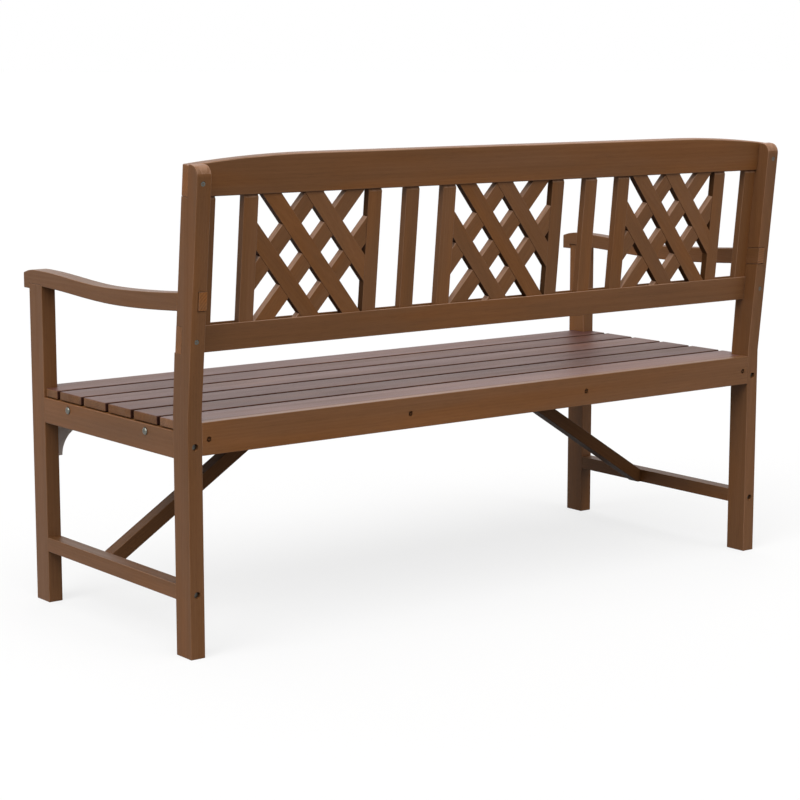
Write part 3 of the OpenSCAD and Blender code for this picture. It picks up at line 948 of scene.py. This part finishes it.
def nose_and_middle(x):
    """The arm's side outline at x, from its nose to past the post."""
    corner = -ARM_NOSE + NOSE_R
    crown = arm_upper(corner)
    nose = [
        (corner - NOSE_R * math.cos(a), crown - NOSE_R * (1 - math.sin(a)))
        for a in quarter_turn(NOSE_STEPS)
    ]
    start = [(0, LEG_TOP - NOSE_DROP), (-ARM_NOSE, LEG_TOP - NOSE_DROP)]
    upper = [(y, arm_upper(y)) for y in stations(corner)[1:]]
    lower = [
        (y, arm_lower(y)) for y in reversed(stations(LEG_D + ARM_FOOT))
    ]
    foot = [(LEG_D, ARM_UNDER), (LEG_D, LEG_TOP), (0, LEG_TOP)]
    shape = start + nose + upper + lower + foot
    return [(x, FRONT + y, z) for y, z in shape]


def tail_points(x, first, play=0.0):
    """The outline of the arm's tail at x, with some play for its notch."""
    places = stations(first)
    upper = [(y, arm_upper(y) + play) for y in places]
    lower = [(y, arm_lower(y) - play) for y in reversed(places)]
    return [(x, FRONT + y, z) for y, z in upper + lower]


# %% Arms
ARM_EASE = (2.5 * MM, 4, 0.3)
# The arms' top and underside are darker than their sides; on the underside this is
# painted shade.
ARM_TOP_SHADE = 0.75
TAIL_EASE = (1.0 * MM, 2, 0.9)
TAIL_PROUD = 1.5 * MM
OUT = LEAN.to_3x3() @ Vector((0, 1, 0))
POST_FACE = lean(0, 0, 0)
POST_REAR = lean(0, POST_P, 0)

for side in SIDES:
    arm = outline(nose_and_middle(HALF - ARM_W), (ARM_W, 0, 0))
    saw(arm, POST_FACE, OUT)
    ease_edges(arm, *ARM_EASE)
    tail = outline(tail_points(LEG_X, POST_Y), (ARM_LAP, 0, 0))
    saw(tail, POST_REAR + OUT * TAIL_PROUD, OUT)
    saw(tail, POST_FACE, -OUT)
    merge(arm, ease_edges(tail, *TAIL_EASE))
    keep(
        "armrest_" + side, mirrored(arm, side), along=(0, 1, 0),
        side_shade=ARM_TOP_SHADE,
    )
print("arm top", round(ARM_TOP, 4))

# %% Places of the screws in the posts' backs
SCREW_HEAD_R = 4.5 * MM
SCREW_SUNK = 0.7 * MM
BACK_SCREW_X = HALF - 13 * MM
BACK_SCREW_UP = 28 * MM


def back_screw_place(sign, up, sunk=0.0):
    """A screw's place on a post's leaning back, above a rail's foot."""
    return lean(sign * BACK_SCREW_X, POST_P - sunk, up + BACK_SCREW_UP)


# %% Rear posts
NOTCH_PLAY = 1.1 * MM
NOTCH_OUT = 5 * MM
NOTCH_AHEAD = 20 * MM
POST_STEP = 3 * MM
POST_GRAIN = (0, 0.03, 1)
CORNER_STEPS = 10
# The rounded top corner is painted paler: a painted highlight of the light from
# above.
CORNER_HIGHLIGHT = ((0, 1, 1), 0.80, 0.75)
CLOSE = 0.01 * MM


def post_points(x):
    """The post's side outline, with the notches for both rails."""
    foot = [(x, POST_FRONT, 0), (x, BACK, 0), (x, BACK, KNEE)]
    rest = (
        (POST_P, POST_RUN), (TOP_RAIL_T, POST_RUN), (TOP_RAIL_T, TOP_FOOT),
        (0, TOP_FOOT), (0, LOW_TOP), (LOW_RAIL_T, LOW_TOP),
        (LOW_RAIL_T, LOW_FOOT), (-POST_STEP, LOW_FOOT), (0, 0),
    )
    return foot + [lean(x, depth, up) for depth, up in rest]


for side in SIDES:
    post = outline(post_points(LEG_X), (HALF - LEG_X, 0, 0))
    corner = lean(0, POST_P, POST_RUN)
    top_rear = [
        edge for edge in post.edges
        if all((v.co - corner).yz.length < CLOSE for v in edge.verts)
    ]
    round_off(post, top_rear, POST_R, CORNER_STEPS)
    ease_edges(post)
    rub_and_light(post, *CORNER_HIGHLIGHT, lambda spot: spot.z > corner.z - POST_R)
    notch = outline(
        tail_points(LEG_X - NOTCH_OUT, POST_Y - NOTCH_AHEAD, NOTCH_PLAY),
        (ARM_LAP + NOTCH_OUT + NOTCH_PLAY, 0, 0),
    )
    keep(
        "rear_post_" + side, mirrored(post, side), along=POST_GRAIN,
        flat=(1, 0, 0),
        cutters=[mirrored(notch, side)] + bolt_holes(side, BACK, -1) + [
            countersink(back_screw_place(SIDES[side], up), OUT,
                        SCREW_HEAD_R, SCREW_SUNK)
            for up in (LOW_FOOT, TOP_FOOT)
        ],
    )
print("post top", round(lean(0, 0, POST_RUN).z, 4))

# %% [markdown]
# ### Side aprons and stretchers
#
# These are square boards between the leg and the post. The grain of a rail always
# runs along it, here front to back. Each bolt's head presses a shallow ring into
# the apron, which is cut with a cone. The stretcher's top and underside are darker
# than its sides, as in the photograph: this is painted shade under the seat.

# %% Side aprons and stretchers
SIDE_HEAD_R = 7 * MM
SIDE_HEAD_T = 4 * MM
SINK = 1.2 * MM
SIDE_BOLT_Y = (FRONT + 145 * MM, FRONT + 433 * MM)
BEARER_LOW, BEARER_HIGH = vectors(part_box("end_bearer_left"))
SIDE_BOLT_Z = (BEARER_LOW.z + BEARER_HIGH.z) / 2
# The stretcher's top and underside are painted darker: painted shade under the
# seat.
STRETCHER_PAINTED_SHADE = 0.75

for side, sign in SIDES.items():
    apron = ease_edges(board(SIDE_APRON_LOW, SIDE_APRON_HIGH))
    holes = [
        countersink((sign * HALF, y, SIDE_BOLT_Z), (sign, 0, 0),
                    SIDE_HEAD_R, SINK)
        for y in SIDE_BOLT_Y
    ]
    keep(
        "side_apron_" + side, mirrored(apron, side), along=(0, 1, 0),
        cutters=holes,
    )
    stretcher = ease_edges(board(STRETCHER_LOW, STRETCHER_HIGH))
    keep(
        "side_stretcher_" + side, mirrored(stretcher, side),
        along=(0, 1, 0), side_shade=STRETCHER_PAINTED_SHADE,
    )

# %% [markdown]
# ### Braces and corner brackets
#
# A brace runs from the stretcher up to the bearer under the seat. It starts
# as a straight bar that is turned to its slope and is then sawn off: upright
# at both ends, and level where it meets the seat and the stretcher's foot.

# %% Braces
BRACE_LOW, BRACE_HIGH = vectors(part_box("brace_left"))
BRACE_W = 28 * MM
BRACE_LEVEL = 10 * MM
# The braces are painted darker: painted shade under the seat.
BRACE_PAINTED_SHADE = 0.7
BRACE_REACH = (-0.2, 0.7)
BRACE_RISE = BRACE_HIGH.z - STRETCHER_HIGH.z
BRACE_RUN = BRACE_HIGH.x - BRACE_LOW.x - BRACE_LEVEL
BRACE_SLOPE = math.atan2(BRACE_RISE, BRACE_RUN)
BRACE_Y = (BRACE_LOW.y + BRACE_HIGH.y) / 2
BRACE_HALF_Y = (BRACE_HIGH.y - BRACE_LOW.y) / 2
BRACE_PLACE = (
    Matrix.Translation((BRACE_HIGH.x, BRACE_Y, STRETCHER_HIGH.z))
    @ Matrix.Rotation(math.pi, 4, "Z")
    @ Matrix.Rotation(-BRACE_SLOPE, 4, "Y")
)

for side, sign in SIDES.items():
    bar = board(
        (BRACE_REACH[0], -BRACE_HALF_Y, -BRACE_W),
        (BRACE_REACH[1], BRACE_HALF_Y, 0),
    )
    moved(bar, BRACE_PLACE)
    saw_to(bar, BRACE_LOW, BRACE_HIGH)
    keep(
        "brace_" + side, mirrored(ease_edges(bar), side),
        along=(-sign * math.cos(BRACE_SLOPE), 0, math.sin(BRACE_SLOPE)),
        flat=(0, 1, 0), shade=BRACE_PAINTED_SHADE,
    )
print("brace slope", round(math.degrees(BRACE_SLOPE), 2))

# %% [markdown]
# A corner bracket is a square of board with a quarter circle sawn out of it.

# %% Corner brackets
low, high = vectors(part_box("corner_bracket_left"))
BRACKET_FOOT = 16 * MM
BRACKET_R = high.x - low.x - BRACKET_FOOT
ARC_STEPS = 24

arc = [
    (low.x + BRACKET_R * math.cos(a), low.y, low.z + BRACKET_R * math.sin(a))
    for a in quarter_turn(ARC_STEPS)
]
corners = [
    (low.x, low.y, high.z), (high.x, low.y, high.z), (high.x, low.y, low.z)
]
for side in SIDES:
    bracket = outline(arc + corners, (0, high.y - low.y, 0))
    keep(
        "corner_bracket_" + side, mirrored(ease_edges(bracket), side),
        along=(-SIDES[side], 0, 1), flat=(0, 1, 0),
        material=timbers["bracket_timber"],
    )
print("bracket curve", round(BRACKET_R, 4))

# %% [markdown]
# ## The seat
#
# The front and rear aprons and four bearers carry six slats. The first and
# the last slat are notched round the legs and posts, so they are drawn from
# above as outlines with their corners cut out.

# %% Aprons and bearers
END_SCREW_X = (BEARER_LOW.x + BEARER_HIGH.x) / 2
MIDDLE_SCREW_X = sum(corner[0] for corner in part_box("middle_bearer_left")) / 2
APRON_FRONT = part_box("front_apron")[0][1]
APRON_FACES = {"front_apron": (APRON_FRONT, -1), "rear_apron": (BACK, 1)}
APRON_SCREW_X = (END_SCREW_X, MIDDLE_SCREW_X, -MIDDLE_SCREW_X, -END_SCREW_X)
APRON_SCREW_SUNK = 1.2 * MM

for name, (face_y, facing) in APRON_FACES.items():
    low, high = vectors(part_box(name))
    apron = board((-LEG_X, low.y, low.z), (LEG_X, high.y, high.z))
    keep(
        name, ease_edges(apron), along=(1, 0, 0),
        cutters=[
            countersink((x, face_y, SIDE_BOLT_Z), (0, facing, 0),
                        SCREW_HEAD_R, APRON_SCREW_SUNK)
            for x in APRON_SCREW_X
        ],
    )

for name in ("end_bearer", "middle_bearer"):
    for side in SIDES:
        bearer = board(*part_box(name + "_" + side))
        keep(name + "_" + side, ease_edges(bearer), along=(0, 1, 0))
print("apron screws at", [round(x, 3) for x in APRON_SCREW_X])

# %% Seat slats
NOTCH_GAP = 1.5 * MM
SLAT_EASE = (2.0 * MM, 3, 0.15)
# The slats' front edges are painted paler: partly wear, partly a painted
# highlight.
SLAT_WEAR_AND_HIGHLIGHT = ((0, -1, 1), 0.80, 0.7)
SLAT_SHADES = (0.92, 0.86, 0.96, 0.90, 0.86, 1.15)
# The slats' long sides are painted darker: painted shade in the gaps.
SLAT_GAP_PAINTED_SHADE = 0.45


def slat_points(low, high):
    """The outline of a slat from above, cut round legs or posts."""
    inner = LEG_X - NOTCH_GAP
    leg_back = LEG_HIGH.y + NOTCH_GAP
    post_face = POST_FRONT - NOTCH_GAP
    if low.y < LEG_HIGH.y:
        half = [(inner, low.y), (inner, leg_back), (high.x, leg_back),
                (high.x, high.y)]
    elif high.y > POST_FRONT:
        half = [(high.x, low.y), (high.x, post_face), (inner, post_face),
                (inner, high.y)]
    else:
        half = [(high.x, low.y), (high.x, high.y)]
    other = [(-x, y) for x, y in reversed(half)]
    return [(x, y, low.z) for x, y in half + other]


for index, shade in enumerate(SLAT_SHADES, 1):
    name = "seat_slat_%d" % index
    low, high = vectors(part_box(name))
    slat = outline(slat_points(low, high), (0, 0, high.z - low.z))
    ease_edges(slat, *SLAT_EASE)
    rub_and_light(slat, *SLAT_WEAR_AND_HIGHLIGHT)
    keep(
        name, slat, "seat_timber", along=(1, 0, 0), flat=(0, 1, 0),
        shade=shade, side_shade=SLAT_GAP_PAINTED_SHADE,
    )
slat_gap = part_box("seat_slat_2")[0][1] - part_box("seat_slat_1")[1][1]
print("slat gap", round(slat_gap, 4))

# %% [markdown]
# ## The back
#
# The back leans as one flat frame, so all its pieces are drawn upright first
# and then tipped with one matrix. The top rail is level in its middle and
# curves down at both ends. The lower rail has a groove along its top, in
# which the slats stand.

# %% Top rail
RAIL_EASE = 2.0 * MM
# The top rail's upper rear faces are painted paler: a painted highlight.
RAIL_HIGHLIGHT = ((0, 1, 1), 0.80, 1.2)
ARCH_FLAT = 460 * MM
ARCH_R = 2400 * MM
ARCH_STEPS = 16
GROOVE_Y = (2.5 * MM, 17.5 * MM)
GROOVE_H = 8 * MM


def tipped(bm):
    """Leans a bmesh back with the posts."""
    return moved(bm, LEAN)


def arch(x):
    """Height of the top rail's upper edge at x."""
    past = max(0, abs(x) - ARCH_FLAT)
    return TOP_CROWN - ARCH_R + math.sqrt(ARCH_R ** 2 - past ** 2)


end_steps = spaced(ARCH_FLAT, HALF, ARCH_STEPS)
edge_x = [-x for x in reversed(end_steps)] + end_steps
rail = outline(
    [(HALF, 0, TOP_FOOT), (-HALF, 0, TOP_FOOT)]
    + [(x, 0, arch(x)) for x in edge_x],
    (0, TOP_RAIL_T, 0),
)
ease_edges(rail, RAIL_EASE)
rub_and_light(rail, *RAIL_HIGHLIGHT)
keep("top_rail", tipped(rail), "back_timber", along=(1, 0, 0))
print("top rail's ends", round(arch(HALF), 4))

# %% Lower back rail
RAIL_END_EASE = (0.45 * MM, 1)
# The lower rail's rear lip is painted paler: a painted highlight.
LOW_RAIL_HIGHLIGHT = ((0, 0.7, 1), 0.60, 1.0)
section = (
    (0, LOW_FOOT), (LOW_RAIL_T, LOW_FOOT), (LOW_RAIL_T, LOW_TOP),
    (GROOVE_Y[1], LOW_TOP), (GROOVE_Y[1], LOW_TOP - GROOVE_H),
    (GROOVE_Y[0], LOW_TOP - GROOVE_H), (GROOVE_Y[0], LOW_TOP), (0, LOW_TOP),
)
rail = outline([(-LEG_X, y, z) for y, z in section], (2 * LEG_X, 0, 0))
ease_edges(rail)
rub_and_light(rail, *LOW_RAIL_HIGHLIGHT, lambda spot: spot.y > GROOVE_Y[1] - MM)
for start in (-HALF, LEG_X):
    end = board(
        (start, 0, LOW_FOOT),
        (start + HALF - LEG_X, LOW_RAIL_T, LOW_TOP),
    )
    merge(rail, ease_edges(end, *RAIL_END_EASE))
keep("lower_back_rail", tipped(rail), "back_timber", along=(1, 0, 0))
print("lower rail's section", len(section), "corners")

# %% [markdown]
# ### Upright slats and stiles
#
# The uprights stand in the grooves of both rails. Just below the top rail each one
# has a small slanting shoulder, which catches the light as a thin bright line and
# is painted paler besides: a painted highlight. Their sides are read from the
# solids, so that one short loop makes all ten of them. The stile at a panel's
# right lies in the corner's shade, so its sides are painted darker as painted
# shade.

# %% Upright slats and stiles
UPRIGHTS = (
    ["back_end_slat_left", "back_end_slat_right"]
    + ["back_stile_%d" % k for k in range(1, 7)]
    + ["back_slat_left", "back_slat_right"]
)
UP_LOW = LOW_TOP - GROOVE_H
UP_HIGH = TOP_FOOT + GROOVE_H

UPRIGHT_EASE = (0.8 * MM, 2, 0.4)
# The shoulders are painted paler: a painted highlight.
SHOULDER_HIGHLIGHT = ((0, 1, 0.6), 0.95, 0.7)
SHOULDER = 2.5 * MM
SHOULDER_H = 4 * MM
RIGHT_STILES = ("back_stile_2", "back_stile_4", "back_stile_6")
CORNER_SHADE = 0.45

for name in UPRIGHTS:
    low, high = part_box(name)
    side_view = (
        (GROOVE_Y[0], UP_LOW), (GROOVE_Y[1], UP_LOW),
        (GROOVE_Y[1], TOP_FOOT - SHOULDER_H - MM),
        (GROOVE_Y[1] - SHOULDER, TOP_FOOT - MM),
        (GROOVE_Y[1] - SHOULDER, UP_HIGH), (GROOVE_Y[0], UP_HIGH),
    )
    upright = outline(
        [(low[0], y, z) for y, z in side_view], (high[0] - low[0], 0, 0)
    )
    ease_edges(upright, *UPRIGHT_EASE)
    rub_and_light(upright, *SHOULDER_HIGHLIGHT,
        lambda spot: spot.z > TOP_FOOT - 2 * SHOULDER_H)
    keep(
        name, tipped(upright), "back_timber",
        along=(0, math.tan(RAKE), 1), flat=(1, 0, 0),
        side_shade=CORNER_SHADE if name in RIGHT_STILES else 1.0,
    )
print("uprights", len(UPRIGHTS))

# %% [markdown]
# ### Lattice
#
# Each panel has three strips that slope one way and three that slope the
# other way. Each strip is a long bar, turned to its slope and sawn off at the
# stiles and in the rails' grooves, as a joiner would cut it. Where two strips
# cross, each loses half its thickness, so that the lattice stays flat. The
# rear faces of the lower ones lie a little deeper, which leaves a fine line.

# %% Lattice strips
STRIP_W = 32 * MM
STRIP_REACH = 300 * MM
STRIP_EASE = (0.5 * MM, 2, 0.4)
# The strips' upward faces are painted paler: a painted highlight.
STRIP_HIGHLIGHT = ((0, 0, 1), 0.5, 1.6)
STRIP_STEP = 0.8 * MM
LAP_Y = sum(GROOVE_Y) / 2
LAP_GAP = 0.2 * MM
STRIP_PITCH = 71.3 * MM
STRIP_SLOPE = math.radians(50.4)
STRIP_LOW = -2 * MM
PANEL_W = 245.8 * MM
LATTICE_U = (LOW_TOP + TOP_FOOT) / 2 - STRIP_LOW
PANELS = {
    "left": (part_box("back_stile_1")[0][0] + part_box("back_stile_2")[1][0]) / 2,
    "middle": 0.0,
    "right": (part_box("back_stile_5")[0][0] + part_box("back_stile_6")[1][0]) / 2,
}


def strip_line(x, layer, index, depth, width):
    """A long bar between two depths that lies along a strip."""
    side = 1 if layer == "rear" else -1
    bar = board(
        (-STRIP_REACH, depth[0], -width / 2),
        (STRIP_REACH, depth[1], width / 2),
    )
    shift = Matrix.Translation((0, 0, (index - 2) * STRIP_PITCH))
    turn = Matrix.Rotation(-side * STRIP_SLOPE, 4, "Y")
    panel_middle = Matrix.Translation((x, 0, LATTICE_U))
    return moved(bar, panel_middle @ turn @ shift)


def strip_bar(x, layer, index):
    """A lattice strip of the panel at x, sawn to the opening."""
    back = GROOVE_Y[1] - (0 if layer == "rear" else STRIP_STEP)
    bar = strip_line(x, layer, index, (GROOVE_Y[0], back), STRIP_W)
    saw_to(bar, (x - PANEL_W / 2, 0, UP_LOW), (x + PANEL_W / 2, 0, UP_HIGH))
    ease_edges(bar, *STRIP_EASE)
    rub_and_light(bar, *STRIP_HIGHLIGHT)
    return tipped(bar)


def laps(x, layer):
    """The waste of the half laps in the strips of one layer."""
    other = "front" if layer == "rear" else "rear"
    depth = (0, LAP_Y) if layer == "rear" else (LAP_Y, 2 * GROOVE_Y[1])
    return [
        tipped(strip_line(x, other, index, depth, STRIP_W + 2 * LAP_GAP))
        for index in (1, 2, 3)
    ]


for panel, x in PANELS.items():
    for layer in ("rear", "front"):
        slope = STRIP_SLOPE if layer == "rear" else math.pi - STRIP_SLOPE
        for index in (1, 2, 3):
            keep(
                "lattice_%s_%s_%d" % (panel, layer, index),
                strip_bar(x, layer, index), "lattice_timber",
                along=(math.cos(slope), 0, math.sin(slope)),
                cutters=laps(x, layer),
            )
print("panels at", [round(x, 4) for x in PANELS.values()])

# %% [markdown]
# ## Fasteners
#
# The heads are what shows: broad domed heads with a cross recess on the side
# aprons, small countersunk screws in the posts and the two long aprons, and
# socket heads deep in the legs' counterbores. A flat head starts as a short
# rod whose rim is rounded, a domed one is spun like a pot, and the recess is
# cut with crossed bars or a six-sided rod.

# %% Helpers that make heads
HEAD_SIDES = 32
DOME_STEPS = 8
DOME_SIDES = 36


def head(radius, top, height, rim):
    """A head along +Z with a rounded rim, its top at z = 0."""
    bm = bmesh.new()
    bmesh.ops.create_cone(
        bm, cap_ends=True, segments=HEAD_SIDES,
        radius1=radius, radius2=top, depth=height,
    )
    bmesh.ops.translate(bm, verts=bm.verts[:], vec=(0, 0, -height / 2))
    upper = [
        edge for edge in bm.edges
        if all(abs(v.co.z) < 1e-6 for v in edge.verts)
    ]
    round_off(bm, upper, rim, 3)
    return bm


def domed_head(radius, height, crown):
    """A head like a shallow dome, spun from half of its side view."""
    bm = bmesh.new()
    side_view = [
        (radius * math.sin(a), 0, crown * (math.cos(a) - 1))
        for a in quarter_turn(DOME_STEPS)
    ] + [(radius, 0, -height), (0, 0, -height)]
    verts = [bm.verts.new(point) for point in side_view]
    edges = [bm.edges.new(pair) for pair in zip(verts, verts[1:])]
    bmesh.ops.spin(
        bm, geom=verts + edges, cent=(0, 0, 0), axis=(0, 0, 1),
        angle=2 * math.pi, steps=DOME_SIDES, use_merge=True,
    )
    bmesh.ops.remove_doubles(bm, verts=bm.verts[:], dist=1e-6)
    bmesh.ops.recalc_face_normals(bm, faces=bm.faces[:])
    return bm


# %% Helpers that cut recesses, add shanks and set the fasteners
BOLT_R = 3 * MM
SCREW_R = 2.2 * MM
SHANK_IN = 0.5 * MM
SHANK_SIDES = 24
BAR_SHARE = 0.16


def cross(size, depth):
    """The crossed bars that cut a screw's recess."""
    thin = size * BAR_SHARE
    return [
        board((-size, -thin, -depth), (size, thin, depth)),
        board((-thin, -size, -depth), (thin, size, depth)),
    ]


def fastener(bm, recess, shank_r, length):
    """Cuts a recess into a head, adds a shank and makes both a mesh."""
    blank = placed("head", mesh_from(bm, "head"))
    cut_out(blank, recess)
    whole = bmesh.new()
    whole.from_mesh(blank.data)
    discard(blank)
    merge(whole, cylinder(
        (0, 0, -SHANK_IN), (0, 0, -1), shank_r, length, SHANK_SIDES
    ))
    return mesh_from(whole, "fastener")


def set_fasteners(name, mesh, material, places):
    """Sets a copy of a fastener at each place, its head facing out."""
    whole = bmesh.new()
    for place, facing in places:
        first = len(whole.verts)
        whole.from_mesh(mesh)
        whole.verts.ensure_lookup_table()
        bmesh.ops.transform(
            whole, matrix=facing_out(place, facing),
            verts=whole.verts[first:],
        )
    bpy.data.meshes.remove(mesh)
    keep(name, whole, "zinc_steel", material=material)


# %% Side bolts
SIDE_HEAD_CROWN = 3.4 * MM
SIDE_BOLT_L = 42 * MM
SIDE_RECESS = (3.8 * MM, 2.2 * MM)
side_bolt = fastener(
    domed_head(SIDE_HEAD_R, SIDE_HEAD_T, SIDE_HEAD_CROWN),
    cross(*SIDE_RECESS), BOLT_R, SIDE_BOLT_L,
)
set_fasteners("side_bolts", side_bolt, metals["bright_zinc"], [
    ((sign * (HALF + SIDE_HEAD_T), y, SIDE_BOLT_Z), (sign, 0, 0))
    for sign in SIDES.values() for y in SIDE_BOLT_Y
])

# %% Leg bolts
LEG_BOLT_L = 78 * MM
LEG_HEAD_R = 5.3 * MM
LEG_HEAD_H = 5 * MM
LEG_HEAD_RIM = 0.6 * MM
SOCKET_R = 2.6 * MM
SOCKET_D = 2.5 * MM
HEAD_IN = COUNTERBORE_D - LEG_HEAD_H
leg_bolt = fastener(
    head(LEG_HEAD_R, LEG_HEAD_R, LEG_HEAD_H, LEG_HEAD_RIM),
    [cylinder((0, 0, -SOCKET_D), (0, 0, 1), SOCKET_R, 2 * SOCKET_D, 6)],
    BOLT_R, LEG_BOLT_L,
)
set_fasteners("leg_bolts", leg_bolt, metals["dull_zinc_in_shade"], [
    ((sign * LEG_MIDDLE, y, z), (0, facing, 0))
    for sign in SIDES.values() for z in BOLT_HEIGHTS
    for y, facing in ((FRONT + HEAD_IN, -1), (BACK - HEAD_IN, 1))
])

# %% Back screws and apron screws
SCREW_CONE = SCREW_HEAD_R - SCREW_R
SCREW_RIM = 0.2 * MM
SCREW_RECESS = (2.6 * MM, 1.1 * MM)
BACK_SCREW_L = 41 * MM
BACK_SCREW_SUNK = 0.3 * MM
APRON_SCREW_L = 47 * MM


def screw_mesh(length):
    """A countersunk screw with a cross recess."""
    flat_head = head(SCREW_R, SCREW_HEAD_R, SCREW_CONE, SCREW_RIM)
    return fastener(flat_head, cross(*SCREW_RECESS), SCREW_R, length)


back_screw = screw_mesh(BACK_SCREW_L)
set_fasteners("back_screws", back_screw, metals["dull_zinc_in_shade"], [
    (back_screw_place(sign, up, BACK_SCREW_SUNK), OUT)
    for sign in SIDES.values() for up in (LOW_FOOT, TOP_FOOT)
])
apron_screw = screw_mesh(APRON_SCREW_L)
set_fasteners("apron_screws", apron_screw, metals["stained_steel"], [
    ((x, face_y - facing * APRON_SCREW_SUNK, SIDE_BOLT_Z), (0, facing, 0))
    for x in APRON_SCREW_X for face_y, facing in APRON_FACES.values()
])

# %% [markdown]
# ## The last look
#
# Every solid should now have its board; the names of any solid without one are
# printed.

# %% List the solids that have no board
missing = sorted(set(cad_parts) - set(made))
print("boards and fasteners", len(made), "missing", missing)
